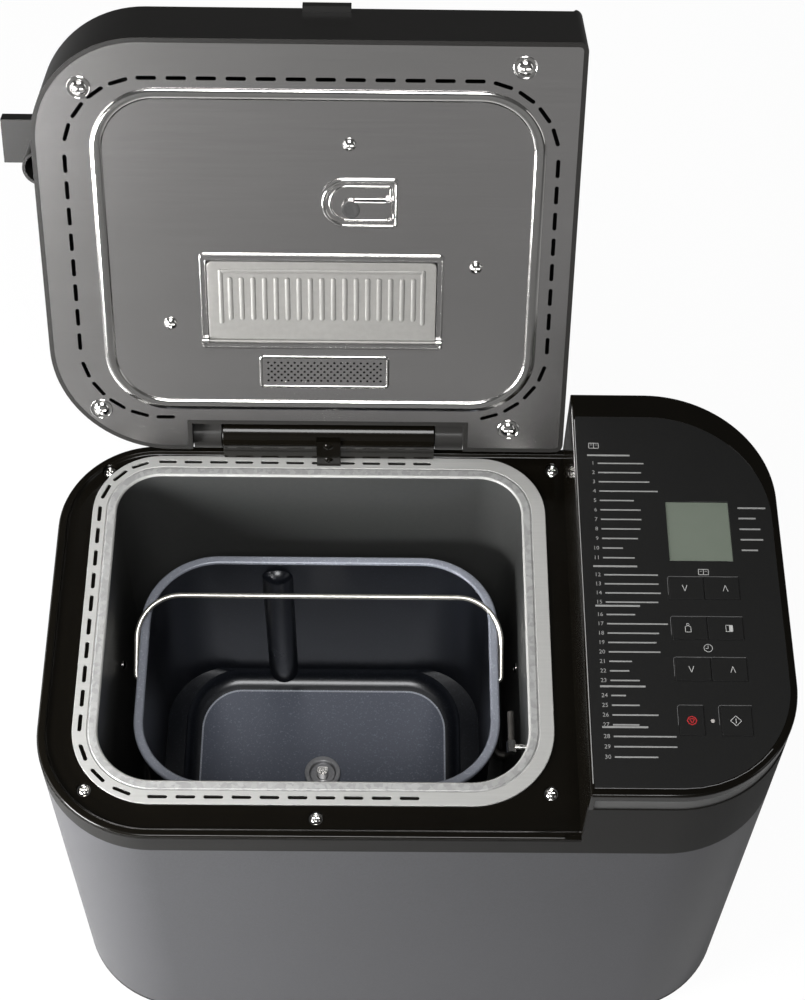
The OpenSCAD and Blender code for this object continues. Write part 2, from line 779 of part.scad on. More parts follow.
module deck() {
  color([0.08, 0.07, 0.06]) difference() {
    union() {
      plate(shrink_open(deck_box, rim_inset), band_top, deck_h);
      plate(shrink_open(deck_box, frame_wall + seat_fit), ledge_z, band_top + e);
    }
    plate(shrink_open(deck_box, rim_w), deck_top, deck_h + 1);
    plate(shrink_open(deck_box, frame_wall + 6), ledge_z - 1, deck_bottom);
    plate(shrink(liner_box, -liner_t - seat_fit), ledge_z, deck_h);
    block(console_left - notch_w, front - 1, console_left + 1, front + notch_d, deck_top + rim_reveal, deck_h + 1);
    for (place = deck_screw_places) {
      post(place[0], place[1], deck_recess_r, deck_top - deck_recess_d, deck_h + 1);
      post(place[0], place[1], screw_shank_r, ledge_z - 1, deck_top);
    }
  }
}

module deck_screws() {
  color("silver") for (place = deck_screw_places) {
    translate([place[0], place[1], deck_top - deck_recess_d]) screw_head(deck_screw_r, 2);
    post(place[0], place[1], screw_shank_r, deck_bottom - 2, deck_top - deck_recess_d + e);
  }
}

// ---- Oven ----

module oven_ring() {
  color([0.78, 0.77, 0.74]) {
    translate([0, 0, deck_top]) linear_extrude(ring_t) difference() {
      outline(ring_box);
      outline(mouth_box);
      slots_along(shrink(ring_box, ring_slot_in), ring_slot_pitch, ring_slot_l, ring_slot_w,
        ring_box[2] - ring_plain);
    }
    wall(shrink(mouth_box, -ring_t), ring_t, deck_top - ring_lip, deck_top + e);
  }
}

module oven_liner() {
  color([0.25, 0.26, 0.27]) difference() {
    union() {
      plate(shrink(liner_box, -liner_t), liner_floor - liner_t, deck_bottom);
      plate(shrink(liner_box, -liner_flange), deck_bottom - liner_t, deck_bottom);
    }
    plate(liner_box, liner_floor, deck_bottom + 1);
    post(oven_x, oven_y, hub_r + slide_fit, liner_floor - 2, liner_floor + 1);
    for (y = heater_end_y()) rod_x(liner_box[2] - 1, liner_box[2] + 2, y, heater_z, heater_r);
    rod_x(liner_box[2] - 1, liner_box[2] + 2, oven_y - sensor_y, sensor_z, sensor_r);
    for (place = deck_screw_places) post(place[0], place[1], screw_shank_r, deck_bottom - 2, deck_bottom + 1);
  }
}

module liner_screws() {
  color("silver") {
    translate([liner_box[0], oven_y + liner_screw_y, liner_screw_z]) rotate([0, 90, 0]) screw_head(liner_screw_r, 1.6);
    translate([liner_box[2], oven_y + liner_screw_y, liner_screw_z]) rotate([0, -90, 0]) screw_head(liner_screw_r, 1.6);
  }
}

function heater_end_y() = [oven_y - heater_ends / 2, oven_y + heater_ends / 2];

// A quarter turn of tube about (x, y), starting at the given angle.
module tube_bend(x, y, z, bend, r, start) {
  translate([x, y, z]) rotate([0, 0, start]) rotate_extrude(angle = 90) translate([bend, 0]) circle(r);
}

module heater_tube() {
  x0 = heater_box[0]; y0 = heater_box[1]; x1 = heater_box[2]; y1 = heater_box[3];
  bend = 22;
  exit_bend = 5.5;
  ends = heater_end_y();
  color([0.3, 0.3, 0.31]) {
    rod_x(x0 + bend, x1 - bend, y0, heater_z, heater_r);
    rod_x(x0 + bend, x1 - bend, y1, heater_z, heater_r);
    translate([x0, y0 + bend, heater_z]) rotate([-90, 0, 0]) cylinder(r = heater_r, h = y1 - y0 - 2 * bend);
    translate([x1, y0 + bend, heater_z]) rotate([-90, 0, 0])
      cylinder(r = heater_r, h = ends[0] - exit_bend - y0 - bend);
    translate([x1, ends[1] + exit_bend, heater_z]) rotate([-90, 0, 0])
      cylinder(r = heater_r, h = y1 - bend - ends[1] - exit_bend);
    tube_bend(x0 + bend, y0 + bend, heater_z, bend, heater_r, 180);
    tube_bend(x1 - bend, y0 + bend, heater_z, bend, heater_r, 270);
    tube_bend(x1 - bend, y1 - bend, heater_z, bend, heater_r, 0);
    tube_bend(x0 + bend, y1 - bend, heater_z, bend, heater_r, 90);
    tube_bend(x1 + exit_bend, ends[0] - exit_bend, heater_z, exit_bend, heater_r, 90);
    tube_bend(x1 + exit_bend, ends[1] + exit_bend, heater_z, exit_bend, heater_r, 180);
    for (y = ends) rod_x(x1 + exit_bend - e, liner_box[2] + liner_t + terminal_l + 4, y, heater_z, heater_r);
  }
}

module heater_terminals() {
  x0 = liner_box[2] + liner_t;
  color("ivory") for (y = heater_end_y()) difference() {
    rod_x(x0, x0 + terminal_l, y, heater_z, terminal_r);
    rod_x(x0 - 1, x0 + terminal_l + 1, y, heater_z, heater_r);
  }
}

module temperature_sensor() {
  x = liner_box[2];
  y = oven_y - sensor_y;
  color("silver") {
    rod_x(x - sensor_gap, x + liner_t + 4, y, sensor_z, sensor_r);
    translate([x - sensor_gap, y - 2, sensor_z]) rotate([-90, 0, 0]) cylinder(r = sensor_r, h = sensor_l + 2);
    translate([x - sensor_gap, y - 3.5, sensor_z]) rotate([-90, 0, 0]) cylinder(r = sensor_r + 0.8, h = 7);
    rod_x(x + liner_t, x + liner_t + 2.5, y, sensor_z, sensor_r + 3);
  }
}

module pan_seat() {
  color([0.5, 0.5, 0.52]) difference() {
    ring_post(oven_x, oven_y, pan_foot_r + slide_fit + seat_t, pan_foot_r + slide_fit, liner_floor,
      liner_floor + seat_h);
    for (turn = [0:90:270]) translate([oven_x, oven_y, liner_floor + 3]) rotate([0, 0, turn + 45])
      translate([pan_foot_r - 4, -7, 0]) cube([seat_t + 8, 14, seat_h]);
  }
}

// ---- Pan ----

module bread_pan() {
  color([0.17, 0.18, 0.21]) {
    difference() {
      union() {
        plate(shrink(pan_box, -pan_t), pan_bottom, pan_top);
        plate(shrink(pan_box, -pan_rim), pan_top - pan_rim_t, pan_top);
      }
      difference() {
        plate(pan_box, pan_floor, pan_top + 1);
        post(oven_x - rib_x, pan_box[3] + rib_r - rib_out, rib_r, pan_floor - 1, pan_top - 8);
      }
      post(oven_x, oven_y, shaft_r + 3, pan_bottom - 1, pan_floor + 1);
    }
  }
}

module pan_foot() {
  color([0.45, 0.46, 0.48]) {
    ring_post(oven_x, oven_y, pan_foot_r, pan_foot_r - pan_foot_t, liner_floor + slide_fit, pan_bottom);
    ring_post(oven_x, oven_y, pan_foot_r, shaft_r + 3, pan_bottom - 2, pan_bottom);
  }
}

module pan_ears() {
  for (side = [0, 1]) translate([oven_x, oven_y, bail_z]) mirror([side, 0, 0]) pan_ear();
}

// An ear on the pan's right side: a plate on the wall, and a boss that takes the bail's end.
module pan_ear() {
  color([0.5, 0.52, 0.56]) difference() {
    union() {
      block(ear_outer, -ear_w / 2, ear_outer + ear_t, ear_w / 2, -ear_h / 2, ear_h / 2);
      rod_x(ear_outer, ear_outer + ear_boss, 0, 0, ear_h / 2 - 3);
    }
    rod_x(ear_outer + ear_t / 2, ear_outer + ear_boss + 1, 0, 0, bail_wire_r + run_fit);
  }
}

// The bail lies in a plane through its pivots, here upright before it is leant back.
module bail_handle() {
  arm = bail_l - bail_bend;
  end_bend = bail_end_bend;
  color("silver") translate([oven_x, oven_y, bail_z]) rotate([-bail_lean, 0, 0]) {
    rod_x(-bail_x + bail_bend, bail_x - bail_bend, 0, bail_l, bail_wire_r);
    for (side = [0, 1]) mirror([side, 0, 0]) {
      translate([bail_x, 0, end_bend]) cylinder(r = bail_wire_r, h = arm - end_bend);
      translate([bail_x - bail_bend, 0, arm]) rotate([90, 0, 0]) rotate_extrude(angle = 90)
        translate([bail_bend, 0]) circle(bail_wire_r);
      translate([bail_x - end_bend, 0, end_bend]) rotate([90, 0, 0]) rotate([0, 0, 270])
        rotate_extrude(angle = 90) translate([end_bend, 0]) circle(bail_wire_r);
      rod_x(ear_outer + ear_t, bail_x - end_bend + e, 0, 0, bail_wire_r);
    }
  }
}

module kneading_mount() {
  color([0.6, 0.6, 0.6]) difference() {
    union() {
      post(oven_x, oven_y, shaft_r + 3, pan_bottom - 8, pan_floor + e);
      post(oven_x, oven_y, mount_r, pan_floor, pan_floor + mount_h);
    }
    post(oven_x, oven_y, mount_r - 3, pan_floor + 1, pan_floor + mount_h + 1);
    post(oven_x, oven_y, shaft_r + run_fit, pan_bottom - 9, pan_floor + 2);
  }
}

module kneading_shaft() {
  color("silver") difference() {
    post(oven_x, oven_y, shaft_r, coupling_z + 3, pan_floor + shaft_out);
    block(oven_x - shaft_r, oven_y + shaft_r * 0.6, oven_x + shaft_r, oven_y + shaft_r * 2,
      pan_floor + mount_h + 1, pan_floor + shaft_out + 1);
  }
}

// A two-winged coupling hub on the pan's side, turned a quarter from the hub it meets.
module pan_coupling() {
  color([0.35, 0.35, 0.37]) difference() {
    union() {
      post(oven_x, oven_y, hub_r, coupling_z + 1, pan_bottom - 8 - slide_fit);
      translate([oven_x - wing_reach, oven_y - wing_t / 2, coupling_z + 1]) cube([2 * wing_reach, wing_t, wing_h]);
    }
    post(oven_x, oven_y, shaft_r, coupling_z + 3, pan_bottom);
    post(oven_x, oven_y, hub_r - 2, coupling_z, coupling_z + 2);
  }
}

// ---- Drive ----

module drive_coupling() {
  color([0.3, 0.3, 0.32]) difference() {
    union() {
      post(oven_x, oven_y, wing_reach, liner_floor + slide_fit, coupling_z);
      for (side = [-1, 1]) translate([oven_x - wing_t / 2, oven_y + side * (hub_r + wing_reach) / 2, coupling_z - e])
        translate([0, -(wing_reach - hub_r) / 2 + 1, 0]) cube([wing_t, wing_reach - hub_r - 2, wing_h + 1]);
    }
    post(oven_x, oven_y, shaft_r, liner_floor - 1, coupling_z + 1);
  }
}

module drive_shaft() {
  color("silver") post(oven_x, oven_y, shaft_r, pulley_z - 1, coupling_z);
}

module drive_bearing() {
  color("peru") ring_post(oven_x, oven_y, bearing_r, shaft_r + run_fit, chassis_z - 0.5 - e, liner_floor - liner_t);
}

module pulley(x, y, seat_r, bore) {
  difference() {
    union() {
      post(x, y, seat_r, pulley_z, pulley_z + pulley_h);
      for (z = [pulley_z, pulley_z + pulley_h - 1]) post(x, y, seat_r + pulley_flange, z, z + 1);
    }
    post(x, y, bore, pulley_z - 1, pulley_z + pulley_h + 1);
  }
}

module large_pulley() {
  color([0.75, 0.75, 0.7]) difference() {
    pulley(oven_x, oven_y, pulley_r, shaft_r);
    for (turn = [0:60:300]) translate([oven_x, oven_y, 0]) rotate([0, 0, turn])
      post(pulley_r * 0.58, 0, pulley_r * 0.2, pulley_z - 1, pulley_z + pulley_h + 1);
  }
}

module belt_outline(grow) {
  hull() {
    translate([oven_x, oven_y]) circle(pulley_r + grow);
    translate([motor_axis_x, oven_y]) circle(motor_pulley_r + grow);
  }
}

module drive_belt() {
  color([0.12, 0.12, 0.12]) translate([0, 0, pulley_z + 1 + slide_fit])
    linear_extrude(pulley_h - 2 - 2 * slide_fit) difference() {
      belt_outline(slide_fit + belt_t);
      belt_outline(slide_fit);
    }
}

module motor_pulley() {
  color([0.75, 0.75, 0.7]) pulley(motor_axis_x, oven_y, motor_pulley_r, shaft_r);
}

module motor_shaft() {
  color("silver") post(motor_axis_x, oven_y, shaft_r, pulley_z - 1, chassis_z + chassis_t + motor_h - 12);
}

module motor() {
  z0 = chassis_z + chassis_t;
  color([0.55, 0.56, 0.58]) difference() {
    union() {
      post(motor_axis_x, oven_y, motor_r, z0 + 4, z0 + motor_h);
      post(motor_axis_x, oven_y, motor_r + 4, z0 + motor_h / 2 - 14, z0 + motor_h / 2 + 14);
      block(motor_axis_x - motor_r - 4, oven_y - 16, motor_axis_x + motor_r + 4, oven_y + 16, z0, z0 + 5);
    }
    post(motor_axis_x, oven_y, shaft_r + run_fit, z0 - 1, z0 + motor_h - 10);
  }
}

module chassis_plate() {
  x0 = oven_x - pulley_r - 10;
  x1 = motor_axis_x + motor_r + 6;
  y0 = oven_y - pulley_r - 10;
  y1 = oven_y + pulley_r + 10;
  color([0.6, 0.6, 0.62]) {
    difference() {
      block(x0, y0, x1, y1, chassis_z, chassis_z + chassis_t);
      post(oven_x, oven_y, shaft_r + 1, chassis_z - 1, chassis_z + chassis_t + 1);
      post(oven_x, oven_y, bearing_r, chassis_z + chassis_t / 2 - 1.5 - e, chassis_z + chassis_t + 1);
      post(motor_axis_x, oven_y, shaft_r + 1, chassis_z - 1, chassis_z + chassis_t + 1);
    }
    for (x = [x0 + post_r, x1 - post_r], y = [y0 + post_r, y1 - post_r])
      post(x, y, post_r, base_top, chassis_z + e);
  }
}

module power_board() {
  x0 = liner_box[2] + power_board_in;
  y0 = front + power_board_front;
  x1 = x0 + power_board_w;
  y1 = y0 + power_board_d;
  z = base_top + board_post_h;
  color([0.1, 0.35, 0.2]) {
    block(x0, y0, x1, y1, z, z + board_t);
    for (x = [x0 + board_post_in, x1 - board_post_in], y = [y0 + board_post_in, y1 - board_post_in])
      post(x, y, board_post_in - 1, base_top, z + e);
    block(x0 + 2 * board_post_in, y0 + 2 * board_post_in, x0 + 2 * board_post_in + transformer_w,
      y0 + 2 * board_post_in + transformer_d, z + board_t - e, z + transformer_h);
    for (i = [0:2]) post(x1 - (2 - i % 2) * (2 * capacitor_r + 1), y0 + (i + 1) * 2 * capacitor_r, capacitor_r,
      z + board_t - e, z + capacitor_h);
  }
}

module power_inlet() {
  color([0.15, 0.15, 0.15]) difference() {
    union() {
      block(inlet_x - inlet_w / 2, back - 24, inlet_x + inlet_w / 2, back, inlet_z - inlet_h / 2,
        inlet_z + inlet_h / 2);
      block(inlet_x - inlet_w / 2 - 5, back - wrap_wall - 3, inlet_x + inlet_w / 2 + 5, back - wrap_wall,
        inlet_z - inlet_h / 2 - 5, inlet_z + inlet_h / 2 + 5);
    }
    block(inlet_x - inlet_w / 2 + 2.5, back - 16, inlet_x + inlet_w / 2 - 2.5, back + 1, inlet_z - inlet_h / 2 + 2.5,
      inlet_z + inlet_h / 2 - 2.5);
  }
  color("silver") for (side = [-1, 1]) block(inlet_x + side * 6 - 1, back - 16 - e, inlet_x + side * 6 + 1,
    back - 4, inlet_z - 3, inlet_z + 3);
}

// ---- Console ----

module key_holes(z0, z1) {
  for (place = key_places)
    block(place[0] - slide_fit / 2, place[1] - place[3] / 2 - slide_fit / 2, place[0] + place[2] + slide_fit / 2,
      place[1] + place[3] / 2 + slide_fit / 2, z0, z1);
  block(display_x - display_w / 2, display_y - display_d / 2, display_x + display_w / 2, display_y + display_d / 2,
    z0, z1);
  post(light_x, stop_y, light_r, z0, z1);
}

function panel_box() = [
  console_left + border_left, front + border_front, right - border_right, back - border_back,
  0, front_right_r - border_front, rear_right_r - border_right, 0
];

module console_shell() {
  color([0.06, 0.06, 0.06]) {
    difference() {
      plate(console_box, console_h - rim_gloss, console_h);
      plate([
        console_left + wall_left, front + frame_wall, right - frame_wall, back - frame_wall,
        0, front_right_r - frame_wall, rear_right_r - frame_wall, 0
      ], console_h - rim_gloss - 1, top_under);
      plate(panel_box(), console_h - panel_t, console_h + 1);
      key_holes(top_under - 1, console_h + 1);
    }
    block(console_left, front + frame_wall, console_left + wall_left, back - frame_wall, ledge_z, trim_z + e);
    block(console_left, front, console_left + wall_left, back, trim_z, console_h - rim_gloss + e);
    for (place = board_posts()) post(place[0], place[1], 3, board_top + board_t, top_under + e);
  }
}

function board_box() = [
  console_left + 8, stop_y - stop_d / 2 - 10, right - key_right + 3, display_y + display_d / 2 + 8
];
function board_posts() = [
  for (x = [board_box()[0] + 4, board_box()[2] - 4], y = [board_box()[1] + 4, board_box()[3] - 4]) [x, y]
];

module console_trim() {
  color([0.3, 0.3, 0.3]) difference() {
    plate(shrink_right(console_box, trim_in), trim_z, console_h - rim_gloss);
    plate(shrink_right(console_box, frame_wall), trim_z - 1, console_h);
    block(console_left - 1, front - 1, console_left + wall_left, back + 1, trim_z - 1, console_h);
  }
}

module panel_face() {
  color([0.13, 0.13, 0.13]) difference() {
    plate(panel_box(), console_h - panel_t, console_h);
    key_holes(console_h - 2, console_h + 1);
  }
}

module display_window() {
  color([0.42, 0.45, 0.41]) block(display_x - display_w / 2, display_y - display_d / 2, display_x + display_w / 2,
    display_y + display_d / 2, console_h - panel_t / 2 - window_t, console_h - panel_t / 2);
}

module display_module() {
  color([0.2, 0.2, 0.22]) block(display_x - display_w / 2, display_y - display_d / 2, display_x + display_w / 2,
    display_y + display_d / 2, board_top + board_t, console_h - panel_t / 2 - window_t);
}

module control_board() {
  box = board_box();
  color([0.1, 0.35, 0.2]) {
    block(box[0], box[1], box[2], box[3], board_top, board_top + board_t);
    for (place = key_places) block(place[0] + place[2] / 2 - 3, place[1] - 3, place[0] + place[2] / 2 + 3,
      place[1] + 3, board_top + board_t - e, board_top + board_t + switch_h - 1.6);
  }
}

module start_light() {
  color("red") post(light_x, stop_y, light_r, board_top + board_t, console_h);
}

module key_pad(place) {
  x = place[0] + place[2] / 2;
  color([0.12, 0.12, 0.12]) {
    block(place[0], place[1] - place[3] / 2, place[0] + place[2], place[1] + place[3] / 2, top_under - 1.5,
      console_h + key_proud);
    block(place[0], place[1] - place[3] / 2 - 1, place[0] + place[2], place[1] + place[3] / 2 + 1, top_under - 1.5,
      top_under - seat_fit);
    post(x, place[1], 2, board_top + board_t + switch_h - 1.6 + key_travel + seat_fit, top_under - 1);
  }
}

module programme_down_key() { key_pad(key_places[0]); }
module programme_up_key() { key_pad(key_places[1]); }
module size_key() { key_pad(key_places[2]); }
module crust_key() { key_pad(key_places[3]); }
module timer_down_key() { key_pad(key_places[4]); }
module timer_up_key() { key_pad(key_places[5]); }
module stop_key() { key_pad(key_places[6]); }
module start_key() { key_pad(key_places[7]); }

// ---- Lid, drawn closed ----

module hinge_cut(grow) {
  block(hinge_x0 - grow, back - hinge_d - grow, hinge_x1 + grow, back + 20, plate_z - 5, lid_top + 5);
}

module hinge_ear(x0, x1) {
  difference() {
    union() {
      rod_x(x0, x1, hinge_y, hinge_z, barrel_r);
      block(x0, back - hinge_d - e, x1, hinge_y, hinge_z - barrel_r + 2, hinge_z + barrel_r - 2);
    }
    rod_x(x0 - 1, x1 + 1, hinge_y, hinge_z, pin_r + run_fit);
  }
}

module scoop() {
  x = left;
  translate([0, -scoop_y, 0]) difference() {
    post(x + 2, 0, scoop_r, plate_z + 12, plate_z + 12 + scoop_h);
    post(x + 2, 0, scoop_r - 1.6, plate_z + 11, plate_z + 10 + scoop_h);
    block(x + 1, -scoop_r - 1, x + 20, scoop_r + 1, plate_z, lid_top);
  }
}

module lid_shell() {
  cavity = shrink(lid_box, lid_wall);
  color([0.15, 0.145, 0.135]) open_lid() {
    difference() {
      union() {
        plate(lid_box, plate_z, lid_top);
        block(hinge_mid - grip_w / 2, front - grip_out, hinge_mid + grip_w / 2, front + 1, lid_top - grip_h, lid_top);
      }
      hinge_cut(0);
      difference() {
        plate(cavity, plate_z - 1, lid_top - lid_wall);
        hinge_cut(lid_wall);
        for (place = plate_screw_places) post(place[0], place[1], lid_post_r, plate_z + plate_t, lid_top);
      }
      plate(shrink(flap_box, box_wall - flap_gap), lid_top - lid_wall - 1, lid_top + 1);
      post(yeast[0], yeast[1], hopper_r - box_wall, lid_top - lid_wall - 1, lid_top + 1);
      for (place = plate_screw_places) post(place[0], place[1], 1.2, plate_z - 1, plate_z + 14);
    }
    scoop();
    cover_eyelets();
    hinge_ear(hinge_x0 - e, hinge_x0 + hinge_ear_w);
    hinge_ear(hinge_x1 - hinge_ear_w, hinge_x1 + e);
  }
}

module lid_plate() {
  color([0.66, 0.65, 0.64]) open_lid() {
    difference() {
      plate(shrink(lid_box, lid_wall + seat_fit), plate_z, plate_z + plate_t);
      hinge_cut(lid_wall + seat_fit);
      translate([0, 0, plate_z - 1]) linear_extrude(plate_t + 2)
        intersection() {
          slots_along(plate_slot_box, plate_slot_pitch, plate_slot_l, plate_slot_w,
            plate_slot_box[2] + plate_slot_l);
          difference() {
            outline(shrink(lid_box, lid_wall + 4));
            translate([hinge_x0 - 8, back - hinge_d - 10]) square([hinge_w + 16, 40]);
          }
        }
      plate(frame_box, plate_z - 1, plate_z + plate_t + 1);
      plate([vent_x, vent_front, vent_x + vent_w, vent_front + vent_d, 1, 1, 1, 1], plate_z - 1, plate_z + 2);
      post(yeast[0], yeast[1], yeast_hole_r, plate_z - 1, plate_z + 2);
      for (place = plate_screw_places) post(place[0], place[1], 1.2, plate_z - 1, plate_z + 2);
    }
    wall(bead_box, bead_w, plate_z - bead_h, plate_z + e);
    difference() {
      wall(yeast_bead, 1.6, plate_z - 0.7, plate_z + e);
      block(valve_hinge_x - 4, yeast[1] - valve_w / 2 - 3, yeast_bead[2] + 1, yeast[1] + valve_w / 2 + 3,
        plate_z - 2, plate_z);
    }
    for (side = [-1, 1]) valve_eyelet(side);
  }
}

// One of the two eyelets that hold the yeast valve's pin under the plate.
module valve_eyelet(side) {
  y = yeast[1] + side * (valve_w / 2 + 1);
  translate([valve_hinge_x, y, valve_hinge_z]) rotate([90, 0, 0]) difference() {
    translate([0, 0, -0.7]) cylinder(r = valve_pin_r + eyelet_wall, h = 1.4);
    translate([0, 0, -1]) cylinder(r = valve_pin_r + run_fit, h = 2);
    translate([-5, plate_z + plate_t / 2 - valve_hinge_z, -1]) cube([10, 5, 2]);
  }
}

module plate_screws() {
  color("silver") open_lid() for (place = plate_screw_places) {
    translate([place[0], place[1], plate_z]) mirror([0, 0, 1]) screw_head(place[2], plate_screw_h);
    post(place[0], place[1], 1.2, plate_z - e, plate_z + 12);
  }
}

module dispenser_box() {
  color([0.2, 0.2, 0.2]) open_lid()
    wall(shrink(flap_box, -flap_gap), box_wall, plate_z + plate_t, lid_top - lid_wall);
}

module dispenser_frame() {
  x0 = flap_box[0] - flap_gap;
  x1 = flap_box[2] + flap_gap;
  color([0.75, 0.75, 0.74]) open_lid() difference() {
    union() {
      plate(frame_box, plate_z - frame_proud, plate_z + plate_t);
      for (x = [x0 - dispenser_border + 1, x1])
        rod_x(x, x + dispenser_border - 1, flap_hinge_y, flap_hinge_z, flap_pin_r + eyelet_wall);
    }
    plate(shrink(flap_box, -flap_gap), plate_z - 4, plate_z + plate_t + 1);
    rod_x(frame_box[0] - 1, frame_box[2] + 1, flap_hinge_y, flap_hinge_z, flap_pin_r + run_fit);
  }
}

module dispenser_flap() {
  x0 = flap_box[0];
  x1 = flap_box[2];
  rib_box = shrink(flap_box, 8);
  pitch = (rib_box[2] - rib_box[0] - 4) / (flap_ribs - 1);
  color([0.8, 0.79, 0.77]) open_lid() {
    plate(flap_box, plate_z - flap_t, plate_z);
    plate(shrink(flap_box, 6.5), plate_z - flap_t - 0.4, plate_z - flap_t + e);
    for (i = [0:flap_ribs - 1]) translate([rib_box[0] + 2 + i * pitch, (rib_box[1] + rib_box[3]) / 2, 0])
      translate([0, 0, plate_z - flap_t - 0.4 - flap_rib_h]) linear_extrude(flap_rib_h + e) rotate([0, 0, 90])
        slot(rib_box[3] - rib_box[1], 2.6);
    rod_x(x0 - flap_gap - dispenser_border + 1, x1 + flap_gap + dispenser_border - 1, flap_hinge_y, flap_hinge_z,
      flap_pin_r);
  }
}

module yeast_hopper() {
  color([0.2, 0.2, 0.2]) open_lid()
    ring_post(yeast[0], yeast[1], hopper_r, hopper_r - box_wall, plate_z + plate_t, lid_top - lid_wall);
}

module yeast_valve() {
  arm_z = plate_z - 1.6;
  color([0.3, 0.3, 0.3]) open_lid() {
    post(yeast[0], yeast[1], valve_r, arm_z, plate_z - seat_fit);
    block(yeast[0], yeast[1] - valve_w / 2, valve_hinge_x, yeast[1] + valve_w / 2, arm_z - 0.8, arm_z + e);
    translate([valve_hinge_x, yeast[1] - valve_w / 2 - 1.7, valve_hinge_z]) rotate([-90, 0, 0])
      cylinder(r = valve_pin_r, h = valve_w + 3.4);
  }
}

module steam_vent() {
  columns = floor((vent_w - 4) / vent_pitch);
  rows = 4;
  row_pitch = vent_d / (rows + 0.6);
  color([0.7, 0.7, 0.7]) open_lid() difference() {
    plate([vent_x, vent_front, vent_x + vent_w, vent_front + vent_d, 1, 1, 1, 1], plate_z, plate_z + plate_t);
    for (i = [0:columns], j = [0:rows - 1]) {
      x = vent_x + vent_w / 2 + (i - columns / 2) * vent_pitch;
      y = vent_front + vent_d / 2 + (j - (rows - 1) / 2) * row_pitch;
      post(x, y, vent_hole_r, plate_z - 1, plate_z + 2);
      if (i < columns && j < rows - 1)
        post(x + vent_pitch / 2, y + row_pitch / 2, vent_hole_r, plate_z - 1, plate_z + 2);
    }
  }
}

module dispenser_lid() {
  color([0.15, 0.145, 0.135]) open_lid() {
    difference() {
      plate(cover_box, cover_z, cover_z + cover_h);
      plate(shrink(cover_box, cover_t), cover_z - 1, cover_z + cover_h - cover_t);
    }
    block(cover_box[0] - tab_out, -tab_y - tab_w / 2, cover_box[0] + 1, -tab_y + tab_w / 2, cover_z,
      cover_z + cover_h);
    for (side = [-1, 1]) {
      y = side * knuckle_pitch / 2;
      knuckle_rod(y, knuckle_l, knuckle_r);
      knuckle_rod(y, knuckle_l + 2 * eyelet_l, knuckle_pin_r);
      block(cover_box[2] - 1, y - knuckle_l / 2, knuckle_x, y + knuckle_l / 2, knuckle_z - 1.2, knuckle_z + 1.2);
    }
  }
}

// A rod along the hinge of the dispenser's lid, with its middle at y.
module knuckle_rod(y, length, r) {
  translate([knuckle_x, y - length / 2, knuckle_z]) rotate([-90, 0, 0]) cylinder(r = r, h = length);
}

// The eyelets on the lid that hold the pins of the dispenser's lid.
module cover_eyelets() {
  for (side = [-1, 1], end = [-1, 1]) {
    y = side * knuckle_pitch / 2 + end * (knuckle_l / 2 + slide_fit + eyelet_l / 2);
    difference() {
      union() {
        knuckle_rod(y, eyelet_l, knuckle_r);
        block(knuckle_x - knuckle_r, y - eyelet_l / 2, knuckle_x + knuckle_r, y + eyelet_l / 2, lid_top - e,
          knuckle_z);
      }
      knuckle_rod(y, eyelet_l + 2, knuckle_pin_r + run_fit);
    }
  }
}

module hinge_housing() {
  x0 = hinge_x0 + hinge_ear_w + slide_fit;
  x1 = hinge_x1 - hinge_ear_w - slide_fit;
  color([0.07, 0.07, 0.07]) difference() {
    union() {
      rod_x(x0, x1, hinge_y, hinge_z, barrel_r);
      block(x0, back - rim_w - 3, x1, back - rim_inset, deck_h, hinge_z);
    }
    rod_x(x0 - 1, x1 + 1, hinge_y, hinge_z, pin_r);
  }
}

module hinge_bracket() {
  y = back - rim_w - 3;
  color([0.1, 0.1, 0.1]) difference() {
    block(hinge_mid - bracket_w / 2, y - bracket_t, hinge_mid + bracket_w / 2, y, deck_h - 1, hinge_z + 6);
    rod_x(hinge_mid - bracket_w, hinge_mid + bracket_w, hinge_y, hinge_z, barrel_r + seat_fit);
  }
  color("silver") for (z = [deck_h + 5, hinge_z + 1])
    translate([hinge_mid, y - bracket_t, z]) rotate([90, 0, 0]) screw_head(2.8, 1.2);
}

module hinge_pin() {
  color("silver") rod_x(hinge_x0 + 1, hinge_x1 - 1, hinge_y, hinge_z, pin_r);
}

feet();
base_plate();
body_wrap();
top_frame();
deck();
deck_screws();
oven_ring();
oven_liner();
liner_screws();
heater_tube();
heater_terminals();
temperature_sensor();
pan_seat();
bread_pan();
pan_foot();
pan_ears();
bail_handle();
kneading_mount();
kneading_shaft();
pan_coupling();
drive_coupling();
drive_shaft();
drive_bearing();
large_pulley();
drive_belt();
motor_pulley();
motor_shaft();
motor();
chassis_plate();
power_board();
power_inlet();
console_shell();
console_trim();
panel_face();
display_window();
display_module();
control_board();
start_light();
programme_down_key();
programme_up_key();
size_key();
crust_key();
timer_down_key();
timer_up_key();
stop_key();
start_key();
lid_shell();
lid_plate();
plate_screws();
dispenser_box();
dispenser_frame();
dispenser_flap();
yeast_hopper();
yeast_valve();
steam_vent();
dispenser_lid();
hinge_housing();
hinge_bracket();
hinge_pin();
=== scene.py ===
"""Dresses the bread machine: fine shapes, finishes, studio and camera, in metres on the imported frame."""

import json
import logging
import math
from collections.abc import Callable, Iterable, Sequence
from dataclasses import dataclass, field
from enum import Enum

import bmesh
import bpy
from mathutils import Matrix, Vector

